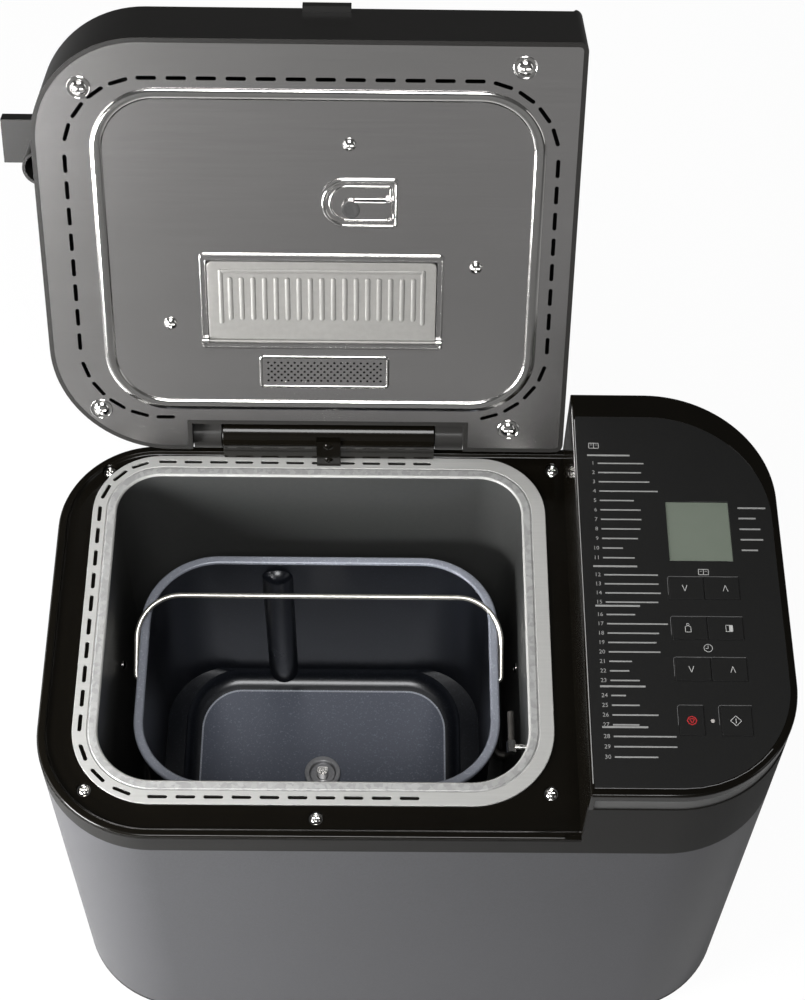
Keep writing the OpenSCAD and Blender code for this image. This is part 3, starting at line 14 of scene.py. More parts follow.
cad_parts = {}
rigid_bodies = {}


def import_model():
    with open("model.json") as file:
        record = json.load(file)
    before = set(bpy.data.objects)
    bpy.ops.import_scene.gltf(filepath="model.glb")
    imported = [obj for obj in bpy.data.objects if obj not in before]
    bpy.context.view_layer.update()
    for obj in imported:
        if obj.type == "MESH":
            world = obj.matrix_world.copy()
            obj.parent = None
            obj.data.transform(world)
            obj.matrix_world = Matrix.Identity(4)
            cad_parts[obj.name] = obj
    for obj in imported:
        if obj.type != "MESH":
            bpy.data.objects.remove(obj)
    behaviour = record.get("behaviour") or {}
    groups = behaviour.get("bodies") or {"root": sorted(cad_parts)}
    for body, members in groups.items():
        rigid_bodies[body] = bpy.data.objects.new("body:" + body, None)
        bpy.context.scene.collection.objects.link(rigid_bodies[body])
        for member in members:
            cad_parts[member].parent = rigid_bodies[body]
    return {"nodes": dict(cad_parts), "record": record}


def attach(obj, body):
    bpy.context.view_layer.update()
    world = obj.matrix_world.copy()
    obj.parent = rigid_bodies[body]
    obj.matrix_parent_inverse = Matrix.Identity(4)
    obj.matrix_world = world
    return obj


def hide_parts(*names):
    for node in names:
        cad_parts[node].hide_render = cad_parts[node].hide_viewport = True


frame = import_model()

for spare in [piece for piece in bpy.data.objects if piece.name in ("Cube", "Camera", "Light")]:
    bpy.data.objects.remove(spare)

LOG = logging.getLogger("bread_machine")
MM = 0.001
Colour = tuple[float, float, float]
Step = tuple[float, float]
Chosen = Callable[[Vector, Vector], bool]

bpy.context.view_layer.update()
SLOT_OF = {row["node"]: row["material_slot"] for row in frame["record"]["subparts"]}
BODY_OF = {node: body for body, nodes in frame["record"]["behaviour"]["bodies"].items() for node in nodes}

LID_ANGLE = math.radians(113)
HINGE = Vector((0, 0.124, 0.290))

# Shares and ranges that every finish has in common.
BROAD_SCALE = 9.0
BROAD_SHARE = 0.4
GRAIN_SHARE = 0.6
RAMP_ENDS = (0.3, 0.7)
SPECK_RANGE = (0.56, 0.68)
ROLLED_SCALE = (0.03, 1, 1)

# Heights of the deck, the console's panel and its keys, in millimetres.
DECK_LEVEL = 270
PANEL_LEVEL = 328.0
KEY_LEVEL = 328.2

# A face looks along an axis where its normal passes this share. Two places are one within this distance, in
# millimetres.
LOOKS_ALONG = 0.9
CLOSE = 1e-3

# Points of a CAD node that are merged, in metres, and the bend under which its faces are one, in degrees.
MERGED = 1e-6
FLAT_ANGLE = 0.6

LID_OPEN = Matrix.Translation(HINGE) @ Matrix.Rotation(-LID_ANGLE, 4, "X") @ Matrix.Translation(-HINGE)


class Grain(Enum):
    """The pattern that a finish shows when looked at closely."""

    CLOUD = "soft, uneven shade of a moulded or painted face"
    PEBBLE = "fine leather-like grain of textured plastic"
    FLAKE = "small bright flakes of metallic paint"
    SPECKLE = "light specks of a non-stick coating"
    SPANGLE = "crystals of a zinc coating"
    ROLLED = "fine lines of rolled sheet"


@dataclass(frozen=True)
class Finish:
    """A finish, built as a node material on Object coordinates."""

    name: str
    colour: Colour
    second: Colour
    roughness: float
    spread: float = 0.06
    metallic: float = 0.0
    coat: float = 0.0
    coat_roughness: float = 0.05
    specular: float = 0.5
    grain: Grain = Grain.CLOUD
    size: float = 0.012
    relief: float = 0.05
    depth: float = 0.0002
    emission: float = 0.0

    def material(self) -> bpy.types.Material:
        """Returns the material, made the first time it is asked for.

        Returns:
            The material.
        """
        found = bpy.data.materials.get(self.name + "_finish")
        if found:
            return found
        made = bpy.data.materials.new(self.name + "_finish")
        made.use_nodes = True
        nodes, links = made.node_tree.nodes, made.node_tree.links
        shader = nodes["Principled BSDF"]
        for socket, value in (
            ("Metallic", self.metallic), ("Coat Weight", self.coat), ("Coat Roughness", self.coat_roughness),
            ("Specular IOR Level", self.specular), ("Emission Strength", self.emission),
        ):
            shader.inputs[socket].default_value = value
        shader.inputs["Emission Color"].default_value = (*self.colour, 1)
        place = nodes.new("ShaderNodeTexCoord")
        turn = nodes.new("ShaderNodeMapping")
        links.new(place.outputs["Object"], turn.inputs["Vector"])
        pattern = self._pattern(nodes, links, turn)
        broad = nodes.new("ShaderNodeTexNoise")
        broad.inputs["Scale"].default_value = BROAD_SCALE
        broad.inputs["Detail"].default_value = 3.0
        links.new(place.outputs["Object"], broad.inputs["Vector"])
        blend = nodes.new("ShaderNodeMath")
        blend.operation = "MULTIPLY_ADD"
        links.new(broad.outputs["Fac"], blend.inputs[0])
        blend.inputs[1].default_value = BROAD_SHARE
        links.new(self._scaled(nodes, links, pattern, GRAIN_SHARE), blend.inputs[2])
        ramp = nodes.new("ShaderNodeValToRGB")
        for element, position, colour in zip(ramp.color_ramp.elements, RAMP_ENDS, (self.colour, self.second)):
            element.position = position
            element.color = (*colour, 1)
        links.new(blend.outputs[0], ramp.inputs["Fac"])
        links.new(ramp.outputs["Color"], shader.inputs["Base Color"])
        rough = nodes.new("ShaderNodeMapRange")
        rough.inputs["To Min"].default_value = max(self.roughness - self.spread, 0.02)
        rough.inputs["To Max"].default_value = self.roughness + self.spread
        links.new(blend.outputs[0], rough.inputs["Value"])
        links.new(rough.outputs["Result"], shader.inputs["Roughness"])
        bump = nodes.new("ShaderNodeBump")
        bump.inputs["Strength"].default_value = self.relief
        bump.inputs["Distance"].default_value = self.depth
        links.new(pattern, bump.inputs["Height"])
        links.new(bump.outputs["Normal"], shader.inputs["Normal"])
        return made

    @staticmethod
    def _scaled(nodes: bpy.types.Nodes, links: bpy.types.NodeLinks, value: bpy.types.NodeSocket,
                by: float) -> bpy.types.NodeSocket:
        """Returns the value times a number.

        Args:
            nodes: the material's nodes.
            links: the material's links.
            value: the socket that is scaled.
            by: the number.

        Returns:
            The socket.
        """
        node = nodes.new("ShaderNodeMath")
        node.operation = "MULTIPLY"
        links.new(value, node.inputs[0])
        node.inputs[1].default_value = by
        return node.outputs[0]

    def _pattern(self, nodes: bpy.types.Nodes, links: bpy.types.NodeLinks,
                 turn: bpy.types.Node) -> bpy.types.NodeSocket:
        """Returns the socket of the grain's own pattern.

        Args:
            nodes: the material's nodes.
            links: the material's links.
            turn: the mapping node that the pattern is laid on.

        Returns:
            The socket.
        """
        if self.grain in (Grain.FLAKE, Grain.SPANGLE, Grain.PEBBLE):
            cells = nodes.new("ShaderNodeTexVoronoi")
            cells.feature = "SMOOTH_F1" if self.grain is Grain.PEBBLE else "F1"
            cells.inputs["Scale"].default_value = 1 / self.size
            links.new(turn.outputs["Vector"], cells.inputs["Vector"])
            if self.grain is Grain.PEBBLE:
                return cells.outputs["Distance"]
            split = nodes.new("ShaderNodeSeparateColor")
            links.new(cells.outputs["Color"], split.inputs["Color"])
            return split.outputs["Red"]
        noise = nodes.new("ShaderNodeTexNoise")
        noise.inputs["Scale"].default_value = 1 / self.size
        noise.inputs["Detail"].default_value = 4.0
        if self.grain is Grain.ROLLED:
            turn.inputs["Scale"].default_value = ROLLED_SCALE
        links.new(turn.outputs["Vector"], noise.inputs["Vector"])
        if self.grain is Grain.SPECKLE:
            specks = nodes.new("ShaderNodeMapRange")
            specks.inputs["From Min"].default_value, specks.inputs["From Max"].default_value = SPECK_RANGE
            links.new(noise.outputs["Fac"], specks.inputs["Value"])
            return specks.outputs["Result"]
        return noise.outputs["Fac"]


GRAPHITE = Finish("graphite_paint", (0.040, 0.040, 0.044), (0.054, 0.054, 0.060), 0.36, 0.03, metallic=0.35,
                  specular=0.25, grain=Grain.FLAKE, size=0.0006, relief=0.04)
CHARCOAL = Finish("charcoal_plastic", (0.0100, 0.0097, 0.0091), (0.0125, 0.0121, 0.0114), 0.5, 0.05,
                  specular=0.08, grain=Grain.PEBBLE, size=0.0007, relief=0.12)
GLOSS_BLACK = Finish("gloss_black", (0.0032, 0.0027, 0.0018), (0.0042, 0.0035, 0.0024), 0.15, 0.03,
                     coat=0.05, specular=0.25, relief=0.01, size=0.02)
TRIM_GREY = Finish("trim_grey", (0.040, 0.040, 0.039), (0.048, 0.048, 0.046), 0.40, 0.05,
                   grain=Grain.PEBBLE, size=0.0008, relief=0.08)
LID_PLASTIC = Finish("lid_plastic", (0.015, 0.0145, 0.0135), (0.019, 0.018, 0.017), 0.36, 0.05,
                     grain=Grain.PEBBLE, size=0.0006, relief=0.1)
RUBBER = Finish("rubber", (0.02, 0.02, 0.02), (0.03, 0.03, 0.03), 0.8, 0.06, grain=Grain.PEBBLE,
                size=0.0009, relief=0.2)
GALVANISED = Finish("galvanised", (0.37, 0.368, 0.356), (0.42, 0.418, 0.404), 0.42, 0.05, metallic=0.1,
                    grain=Grain.ROLLED, size=0.0012, relief=0.02)
GALVANISED_BAND = Finish("galvanised_band", (0.30, 0.30, 0.296), (0.39, 0.39, 0.384), 0.40, 0.06,
                         metallic=0.15, grain=Grain.SPANGLE, size=0.0025, relief=0.03)
OVEN_ENAMEL = Finish("oven_enamel", (0.046, 0.047, 0.046), (0.058, 0.059, 0.057), 0.36, 0.05, metallic=0.1,
                     coat=0.15, coat_roughness=0.25, grain=Grain.CLOUD, size=0.003, relief=0.05)
POLISHED = Finish("polished_steel", (0.70, 0.69, 0.67), (0.76, 0.75, 0.73), 0.13, 0.03, metallic=1.0,
                  grain=Grain.CLOUD, size=0.004, relief=0.01)
BAIL_STEEL = Finish("bail_steel", (0.66, 0.64, 0.58), (0.74, 0.72, 0.66), 0.30, 0.04, metallic=0.85,
                    grain=Grain.CLOUD, size=0.004, relief=0.01)
LID_STEEL = Finish("lid_steel", (0.66, 0.645, 0.635), (0.71, 0.695, 0.685), 0.20, 0.02, metallic=1.0,
                   grain=Grain.ROLLED, size=0.0015, relief=0.012, depth=0.0001)
FLAP_ALUMINIUM = Finish("flap_aluminium", (0.25, 0.245, 0.233), (0.29, 0.284, 0.271), 0.38, 0.05,
                        metallic=0.3, grain=Grain.CLOUD, size=0.003, relief=0.02, depth=0.0001)
PAN_COATING = Finish("pan_coating", (0.007, 0.008, 0.011), (0.020, 0.0225, 0.030), 0.32, 0.06,
                     metallic=0.25, coat=0.25, coat_roughness=0.2, grain=Grain.SPECKLE, size=0.0011,
                     relief=0.06)
# Painted light: a much lighter copy of the pan's coating for the floor that looks up, standing in for the
# light that falls on it.
PAN_FLOOR_PAINTED_LIGHT = Finish("pan_floor", (0.095, 0.105, 0.135), (0.17, 0.185, 0.23), 0.38, 0.06, metallic=0.15,
                   grain=Grain.SPECKLE, size=0.0011, relief=0.06)
# Painted highlight: a bright speckled line where the pan's floor meets its rounded turn, standing in for the
# light caught on that edge.
FLOOR_EDGE_HIGHLIGHT = Finish("pan_floor_edge_highlight", (0.35, 0.37, 0.42), (0.75, 0.78, 0.84), 0.4, 0.06, metallic=0.2,
                     grain=Grain.SPECKLE, size=0.0008, relief=0.1)
PAN_EDGE = Finish("pan_edge", (0.26, 0.275, 0.32), (0.36, 0.38, 0.43), 0.36, 0.05, metallic=0.2,
                  grain=Grain.SPECKLE, size=0.0011, relief=0.05)
CAST = Finish("cast_metal", (0.32, 0.32, 0.33), (0.42, 0.42, 0.43), 0.42, 0.08, metallic=0.9,
              grain=Grain.PEBBLE, size=0.0012, relief=0.1)
HEATER = Finish("heater_steel", (0.10, 0.095, 0.09), (0.16, 0.15, 0.14), 0.45, 0.08, metallic=0.9,
                size=0.006)
CERAMIC = Finish("ceramic", (0.74, 0.72, 0.66), (0.80, 0.78, 0.72), 0.4, 0.08, grain=Grain.SPECKLE,
                 size=0.0015)
DARK_PLASTIC = Finish("dark_plastic", (0.03, 0.03, 0.033), (0.042, 0.042, 0.045), 0.5, 0.06,
                      grain=Grain.PEBBLE, size=0.001)
PULLEY_PLASTIC = Finish("pulley_plastic", (0.5, 0.5, 0.46), (0.56, 0.56, 0.52), 0.5, 0.06, size=0.01)
BRONZE = Finish("bronze", (0.45, 0.30, 0.14), (0.55, 0.38, 0.2), 0.4, 0.08, metallic=1.0,
                grain=Grain.SPECKLE, size=0.0008)
MOTOR_STEEL = Finish("motor_steel", (0.30, 0.31, 0.32), (0.38, 0.39, 0.40), 0.38, 0.06, metallic=0.9,
                     grain=Grain.SPANGLE, size=0.006)
BOARD_GREEN = Finish("circuit_board", (0.02, 0.11, 0.05), (0.03, 0.15, 0.07), 0.4, 0.06, coat=0.3,
                     size=0.003)
PANEL_BLACK = Finish("panel_black", (0.011, 0.011, 0.0108), (0.014, 0.014, 0.0137), 0.38, 0.04,
                     specular=0.3, grain=Grain.PEBBLE, size=0.0005, relief=0.05)
DISPLAY = Finish("display_glass", (0.15, 0.175, 0.14), (0.17, 0.195, 0.16), 0.3, 0.04, coat=0.15, size=0.02)
LIGHT_LENS = Finish("light_lens", (0.45, 0.42, 0.40), (0.55, 0.52, 0.5), 0.3, 0.04, coat=0.5, size=0.004)
PRINT_WHITE = Finish("print_white", (0.46, 0.46, 0.45), (0.52, 0.52, 0.51), 0.5, 0.05, size=0.002)
PRINT_LIST = Finish("print_list", (0.26, 0.26, 0.255), (0.31, 0.31, 0.305), 0.5, 0.05, size=0.002)
PRINT_GREY = Finish("print_grey", (0.14, 0.14, 0.14), (0.17, 0.17, 0.17), 0.5, 0.05, size=0.002)
PRINT_RED = Finish("print_red", (0.40, 0.018, 0.02), (0.48, 0.025, 0.028), 0.5, 0.05, size=0.002)
VALVE_RUBBER = Finish("valve_rubber", (0.03, 0.03, 0.03), (0.045, 0.045, 0.045), 0.6, 0.06,
                      grain=Grain.PEBBLE, size=0.0008)

SLOT_FINISH = {
    "painted_steel": GRAPHITE, "charcoal_plastic": CHARCOAL, "gloss_black": GLOSS_BLACK,
    "trim_grey": TRIM_GREY, "lid_plastic": LID_PLASTIC, "rubber": RUBBER, "galvanised": GALVANISED,
    "oven_enamel": OVEN_ENAMEL,
    "polished_steel": POLISHED, "lid_steel": LID_STEEL, "flap_aluminium": FLAP_ALUMINIUM,
    "pan_coating": PAN_COATING, "cast_metal": CAST, "heater_steel": HEATER, "ceramic": CERAMIC,
    "dark_plastic": DARK_PLASTIC, "pulley_plastic": PULLEY_PLASTIC, "bronze": BRONZE,
    "motor_steel": MOTOR_STEEL, "circuit_board": BOARD_GREEN, "panel_black": PANEL_BLACK,
    "display_glass": DISPLAY, "light_red": LIGHT_LENS,
}


@dataclass(frozen=True)
class Outline:
    """A rounded rectangle in millimetres, with a radius for each corner from front left, anticlockwise."""

    x0: float
    y0: float
    x1: float
    y1: float
    radii: tuple[float, float, float, float]

    def shrink(self, by: float) -> "Outline":
        """Returns the outline moved inwards by a distance.

        Args:
            by: the distance.

        Returns:
            The outline.
        """
        radii = tuple(max(r - by, 0.3) if r > 0 else 0.0 for r in self.radii)
        return Outline(self.x0 + by, self.y0 + by, self.x1 - by, self.y1 - by, radii)

    def depth(self, x: float, y: float) -> float:
        """Returns how far inside the outline a place lies, below nought outside it.

        Args:
            x: its place to the right.
            y: its place to the back.

        Returns:
            The depth, in millimetres.
        """
        for cx, cy, sx, sy, r in (
            (self.x0, self.y0, 1, 1, self.radii[0]), (self.x1, self.y0, -1, 1, self.radii[1]),
            (self.x1, self.y1, -1, -1, self.radii[2]), (self.x0, self.y1, 1, -1, self.radii[3]),
        ):
            dx, dy = (cx + sx * r - x) * sx, (cy + sy * r - y) * sy
            if dx > 0 and dy > 0:
                return r - math.hypot(dx, dy)
        return min(x - self.x0, self.x1 - x, y - self.y0, self.y1 - y)

    def slots(self, pitch: float) -> list[tuple[float, float, float]]:
        """Returns the places of slots along the outline: x, y and turn in degrees.

        Args:
            pitch: the distance between two slots, in millimetres.

        Returns:
            The places.
        """
        a, b, c, d = self.radii
        runs = (
            (self.x0 + a, self.y0, 0, self.x1 - self.x0 - a - b),
            (self.x0 + d, self.y1, 0, self.x1 - self.x0 - c - d),
            (self.x0, self.y0 + a, 90, self.y1 - self.y0 - a - d),
            (self.x1, self.y0 + b, 90, self.y1 - self.y0 - b - c),
        )
        places = []
        for x, y, turn, run in runs:
            count = math.floor(run / pitch)
            for i in range(count + 1):
                along = (run - count * pitch) / 2 + i * pitch
                places.append((x + along, y, turn) if turn == 0 else (x, y + along, turn))
        bends = (
            (self.x0 + a, self.y0 + a, a, 180), (self.x1 - b, self.y0 + b, b, 270),
            (self.x1 - c, self.y1 - c, c, 0), (self.x0 + d, self.y1 - d, d, 90),
        )
        for x, y, r, start in bends:
            count = math.floor(r * math.pi / 2 / pitch - 0.4)
            for i in range(1, count + 1):
                angle = start + 90 * i / (count + 1)
                places.append((x + r * math.cos(math.radians(angle)), y + r * math.sin(math.radians(angle)),
                               angle + 90))
        return places


def fillet(radius: float, rise: float, count: int = 6) -> list[Step]:
    """Returns the steps of a rounded edge that starts upright and ends flat.

    Args:
        radius: how far the edge reaches inwards.
        rise: how far it climbs, or falls where it is negative.
        count: how many facets it has.

    Returns:
        The steps.
    """
    angles = [math.pi / 2 * i / count for i in range(count + 1)]
    points = [(radius * (1 - math.cos(a)), rise * math.sin(a)) for a in angles]
    return [(q[0] - p[0], q[1] - p[1]) for p, q in zip(points, points[1:])]


def roll(radius: float, fall: float, count: int = 6) -> list[Step]:
    """Returns the steps of a rounded edge that starts flat and ends upright.

    Args:
        radius: how far the edge reaches inwards.
        fall: how far it falls.
        count: how many facets it has.

    Returns:
        The steps.
    """
    return [(d, -h) for d, h in reversed(fillet(radius, fall, count))]


class Bench:
    """The tools that shape one piece in edit mode. Lengths are in millimetres."""

    @staticmethod
    def clear() -> None:
        """Leaves edit mode and deselects every object."""
        if bpy.context.object and bpy.context.object.mode != "OBJECT":
            bpy.ops.object.mode_set(mode="OBJECT")
        bpy.ops.object.select_all(action="DESELECT")

    @staticmethod
    def take(piece: bpy.types.Object) -> None:
        """Makes a piece the only selected and the active one.

        Args:
            piece: the piece.
        """
        Bench.clear()
        piece.select_set(True)
        bpy.context.view_layer.objects.active = piece

    @staticmethod
    def edit(piece: bpy.types.Object, mode: str = "FACE") -> None:
        """Opens a piece in edit mode with nothing selected.

        Args:
            piece: the piece.
            mode: VERT, EDGE or FACE.
        """
        Bench.take(piece)
        bpy.ops.object.mode_set(mode="EDIT")
        bpy.ops.mesh.select_mode(type=mode)
        bpy.ops.mesh.select_all(action="DESELECT")

    @staticmethod
    def done(piece: bpy.types.Object, smooth: float = 35.0) -> None:
        """Leaves edit mode and shades the piece smooth under an angle.

        Args:
            piece: the piece.
            smooth: the angle in degrees.
        """
        Bench.take(piece)
        bpy.ops.object.shade_smooth_by_angle(angle=math.radians(smooth))

    @staticmethod
    def pick_faces(chosen: Chosen) -> None:
        """Selects the faces that a rule chooses by their middle, in millimetres, and normal.

        Args:
            chosen: the rule.
        """
        mesh = bpy.context.object.data
        shape = bmesh.from_edit_mesh(mesh)
        for face in shape.faces:
            face.select_set(chosen(face.calc_center_median() / MM, face.normal))
        shape.select_flush_mode()
        bmesh.update_edit_mesh(mesh)

    @staticmethod
    def pick_edges(chosen: Chosen) -> None:
        """Selects the edges that a rule chooses by their two ends, in millimetres.

        Args:
            chosen: the rule.
        """
        mesh = bpy.context.object.data
        shape = bmesh.from_edit_mesh(mesh)
        for edge in shape.edges:
            edge.select_set(chosen(edge.verts[0].co / MM, edge.verts[1].co / MM))
        bmesh.update_edit_mesh(mesh)

    @staticmethod
    def plane(name: str, outline: Outline, z: float, facets: int = 18) -> bpy.types.Object:
        """Returns a flat face with rounded corners, open in edit mode and selected.

        Args:
            name: the piece's name.
            outline: its outline.
            z: its height.
            facets: how many facets each corner has.

        Returns:
            The piece.
        """
        Bench.clear()
        middle = ((outline.x0 + outline.x1) / 2 * MM, (outline.y0 + outline.y1) / 2 * MM, z * MM)
        bpy.ops.mesh.primitive_plane_add(size=1, location=middle)
        piece = bpy.context.object
        piece.name = piece.data.name = name
        piece.scale = ((outline.x1 - outline.x0) * MM, (outline.y1 - outline.y0) * MM, 1)
        bpy.ops.object.transform_apply(location=True, rotation=True, scale=True)
        corners = ((outline.x0, outline.y0), (outline.x1, outline.y0), (outline.x1, outline.y1),
                   (outline.x0, outline.y1))
        for (x, y), radius in zip(corners, outline.radii):
            if radius <= 0:
                continue
            Bench.edit(piece, "VERT")
            shape = bmesh.from_edit_mesh(piece.data)
            for vert in shape.verts:
                vert.select_set(math.hypot(vert.co.x / MM - x, vert.co.y / MM - y) < CLOSE)
            shape.select_flush_mode()
            bmesh.update_edit_mesh(piece.data)
            bpy.ops.mesh.bevel(offset=radius * MM, segments=facets, affect="VERTICES", clamp_overlap=False)
        Bench.edit(piece, "FACE")
        bpy.ops.mesh.select_all(action="SELECT")
        return piece

    @staticmethod
    def walk(steps: Iterable[Step], facing: float = 1.0) -> None:
        """Carries the selected face through steps, each inwards and then along its normal.

        Args:
            steps: pairs of inset and rise.
            facing: 1 for a face that looks up, -1 for one that looks down.
        """
        for inset, rise in steps:
            if inset > 1e-6:
                bpy.ops.mesh.inset(thickness=inset * MM, depth=rise * MM, use_even_offset=True)
            else:
                way = (0, 0, facing * rise * MM)
                bpy.ops.mesh.extrude_region_move(TRANSFORM_OT_translate={"value": way})

    @staticmethod
    def slab(name: str, outline: Outline, z0: float, z1: float, top: Iterable[Step] = (),
             under: Iterable[Step] = (), facets: int = 18) -> bpy.types.Object:
        """Returns a closed slab whose upper and lower faces are carried through steps.

        Args:
            name: the piece's name.
            outline: its outline.
            z0: the height of its lower face.
            z1: the height of its upper face.
            top: the steps of the upper face.
            under: the steps of the lower face.
            facets: how many facets each corner has.

        Returns:
            The piece.
        """
        piece = Bench.plane(name, outline, z0, facets)
        bpy.ops.mesh.extrude_region_move(TRANSFORM_OT_translate={"value": (0, 0, (z1 - z0) * MM)})
        Bench.outward()
        Bench.pick_faces(lambda c, n: n.z > LOOKS_ALONG)
        Bench.walk(top)
        Bench.pick_faces(lambda c, n: n.z < -LOOKS_ALONG and abs(c.z - z0) < CLOSE)
        Bench.walk(under, -1)
        return piece

    @staticmethod
    def outward() -> None:
        """Turns every face of the open piece outwards."""
        bpy.ops.mesh.select_all(action="SELECT")
        bpy.ops.mesh.normals_make_consistent(inside=False)

    @staticmethod
    def bridge() -> None:
        """Joins the two open edges of the open piece by faces."""
        bpy.ops.mesh.select_mode(type="EDGE")
        bpy.ops.mesh.select_non_manifold()
        bpy.ops.mesh.bridge_edge_loops()

    @staticmethod
    def open_through(z_top: float, z_under: float) -> None:
        """Makes a ring of the slab: deletes its two flat faces and joins their edges.

        Args:
            z_top: the upper height.
            z_under: the lower height.
        """
        Bench.pick_faces(lambda c, n: (n.z > LOOKS_ALONG and abs(c.z - z_top) < 2 * CLOSE)
                         or (n.z < -LOOKS_ALONG and abs(c.z - z_under) < 2 * CLOSE))
        bpy.ops.mesh.delete(type="FACE")
        Bench.bridge()

    @staticmethod
    def modifier(piece: bpy.types.Object, kind: str, **settings: object) -> None:
        """Adds a modifier to a piece and applies it.

        Args:
            piece: the piece.
            kind: Blender's name of the modifier.
            settings: its settings.
        """
        Bench.take(piece)
        made = piece.modifiers.new(kind.lower(), kind)
        for key, value in settings.items():
            setattr(made, key, value)
        bpy.ops.object.modifier_apply(modifier=made.name)

    @staticmethod
    def cut(piece: bpy.types.Object, cutters: Sequence[bpy.types.Object]) -> None:
        """Cuts pieces out of another and deletes them.

        Args:
            piece: the piece.
            cutters: the pieces that are cut out.
        """
        cutter = Bench.joined(cutters, "cutter")
        Bench.modifier(piece, "BOOLEAN", operation="DIFFERENCE", object=cutter, solver="EXACT")
        bpy.data.objects.remove(cutter)

    @staticmethod
    def joined(pieces: Sequence[bpy.types.Object], name: str) -> bpy.types.Object:
        """Returns several pieces joined into one of a new name.

        Args:
            pieces: the pieces.
            name: the piece's name.

        Returns:
            The piece.
        """
        Bench.take(pieces[0])
        for piece in pieces:
            piece.select_set(True)
        if len(pieces) > 1:
            bpy.ops.object.join()
        joined = bpy.context.object
        joined.name = joined.data.name = name
        return joined

    @staticmethod
    def copy(piece: bpy.types.Object, name: str, move: Matrix) -> bpy.types.Object:
        """Returns a copy of a piece with its own mesh, moved and with the move applied.

        Args:
            piece: the piece that is copied.
            name: the copy's name.
            move: where it goes, in metres.

        Returns:
            The piece.
        """
        Bench.take(piece)
        bpy.ops.object.duplicate(linked=False)
        made = bpy.context.object
        made.name = made.data.name = name
        Bench.place(made, move)
        return made

    @staticmethod
    def place(piece: bpy.types.Object, move: Matrix) -> None:
        """Moves a piece and applies the move to its mesh.

        Args:
            piece: the piece.
            move: the move, in metres.
        """
        Bench.take(piece)
        piece.matrix_world = move @ piece.matrix_world
        bpy.ops.object.transform_apply(location=True, rotation=True, scale=True)

    @staticmethod
    def post(name: str, x: float, y: float, r: float, z0: float, z1: float,
             sides: int = 32) -> bpy.types.Object:
        """Returns a plain cylinder, the start of a round piece or a cutter.

        Args:
            name: the piece's name.
            x: its place to the right.
            y: its place to the back.
            r: its radius.
            z0: its lower end.
            z1: its upper end.
            sides: how many sides it has.

        Returns:
            The piece.
        """
        Bench.clear()
        bpy.ops.mesh.primitive_cylinder_add(vertices=sides, radius=r * MM, depth=(z1 - z0) * MM,
                                            location=(x * MM, y * MM, (z0 + z1) / 2 * MM))
        piece = bpy.context.object
        piece.name = piece.data.name = name
        bpy.ops.object.transform_apply(location=True, rotation=True, scale=True)
        return piece

    @staticmethod
    def block(name: str, low: Sequence[float], high: Sequence[float]) -> bpy.types.Object:
        """Returns a plain box between two corners, the start of a square piece or a cutter.

        Args:
            name: the piece's name.
            low: its lowest corner.
            high: its highest corner.

        Returns:
            The piece.
        """
        Bench.clear()
        bpy.ops.mesh.primitive_cube_add(size=1, location=[(a + b) / 2 * MM for a, b in zip(low, high)])
        piece = bpy.context.object
        piece.name = piece.data.name = name
        piece.scale = [(b - a) * MM for a, b in zip(low, high)]
        bpy.ops.object.transform_apply(location=True, rotation=True, scale=True)
        return piece

    @staticmethod
    def rounded(piece: bpy.types.Object, width: float, segments: int = 3, angle: float = 40.0) -> None:
        """Rounds the edges of a piece that are sharper than an angle.

        Args:
            piece: the piece.
            width: how wide the rounding is.
            segments: how many facets each edge gets.
            angle: the angle in degrees.
        """
        Bench.modifier(piece, "BEVEL", width=width * MM, segments=segments, limit_method="ANGLE",
                       angle_limit=math.radians(angle), harden_normals=False)
        Bench.done(piece)

    @staticmethod
    def slot_cutters(outline: Outline, pitch: float, length: float, width: float, z0: float, z1: float,
                     keep: Callable[[float, float, float], bool]) -> list[bpy.types.Object]:
        """Returns one cutter for each slot along an outline.

        Args:
            outline: the line that the slots lie on.
            pitch: the distance between two slots.
            length: a slot's length.
            width: a slot's width.
            z0: the cutters' lower end.
            z1: the cutters' upper end.
            keep: says by its place and its turn whether a slot is made.

        Returns:
            The cutters.
        """
        shape = Outline(-length / 2, -width / 2, length / 2, width / 2, (width / 2 - 0.01,) * 4)
        first = Bench.slab("slot", shape, z0, z1, facets=4)
        cutters = []
        for x, y, turn in outline.slots(pitch):
            if keep(x, y, turn):
                move = Matrix.Translation((x * MM, y * MM, 0)) @ Matrix.Rotation(math.radians(turn), 4, "Z")
                cutters.append(Bench.copy(first, "slot", move))
        bpy.data.objects.remove(first)
        return cutters


def dress(piece: bpy.types.Object, body: str, finish: Finish,
          stands_for: Sequence[str] = ()) -> None:
    """Gives a piece its finish, its body and the CAD nodes that it stands for.

    Args:
        piece: the finished piece.
        body: the CAD body that it rides on.
        finish: its finish.
        stands_for: the CAD nodes that it replaces.
    """
    Bench.modifier(piece, "TRIANGULATE", min_vertices=5)
    Bench.modifier(piece, "WEIGHTED_NORMAL", keep_sharp=True)
    Bench.clear()
    piece.data.materials.clear()
    piece.data.materials.append(finish.material())
    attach(piece, body)
    if stands_for:
        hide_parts(*stands_for)
    LOG.info("%s: %d faces on %s", piece.name, len(piece.data.polygons), body)


def from_node(node: str, name: str) -> bpy.types.Object:
    """Returns a copy of a CAD node, merged and cleared of its inner edges, with its own mesh.

    Args:
        node: the CAD node.
        name: the copy's name.

    Returns:
        The piece.
    """
    Bench.take(frame["nodes"][node])
    bpy.ops.object.duplicate(linked=False)
    piece = bpy.context.object
    piece.name = piece.data.name = name
    for key in [k for k in piece.keys() if k.startswith("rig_")]:
        del piece[key]
    piece.parent = None
    piece.matrix_world = Matrix.Identity(4)
    bpy.ops.mesh.customdata_custom_splitnormals_clear()
    Bench.edit(piece, "VERT")
    bpy.ops.mesh.select_all(action="SELECT")
    bpy.ops.mesh.remove_doubles(threshold=MERGED)
    bpy.ops.mesh.dissolve_limited(angle_limit=math.radians(FLAT_ANGLE))
    return piece


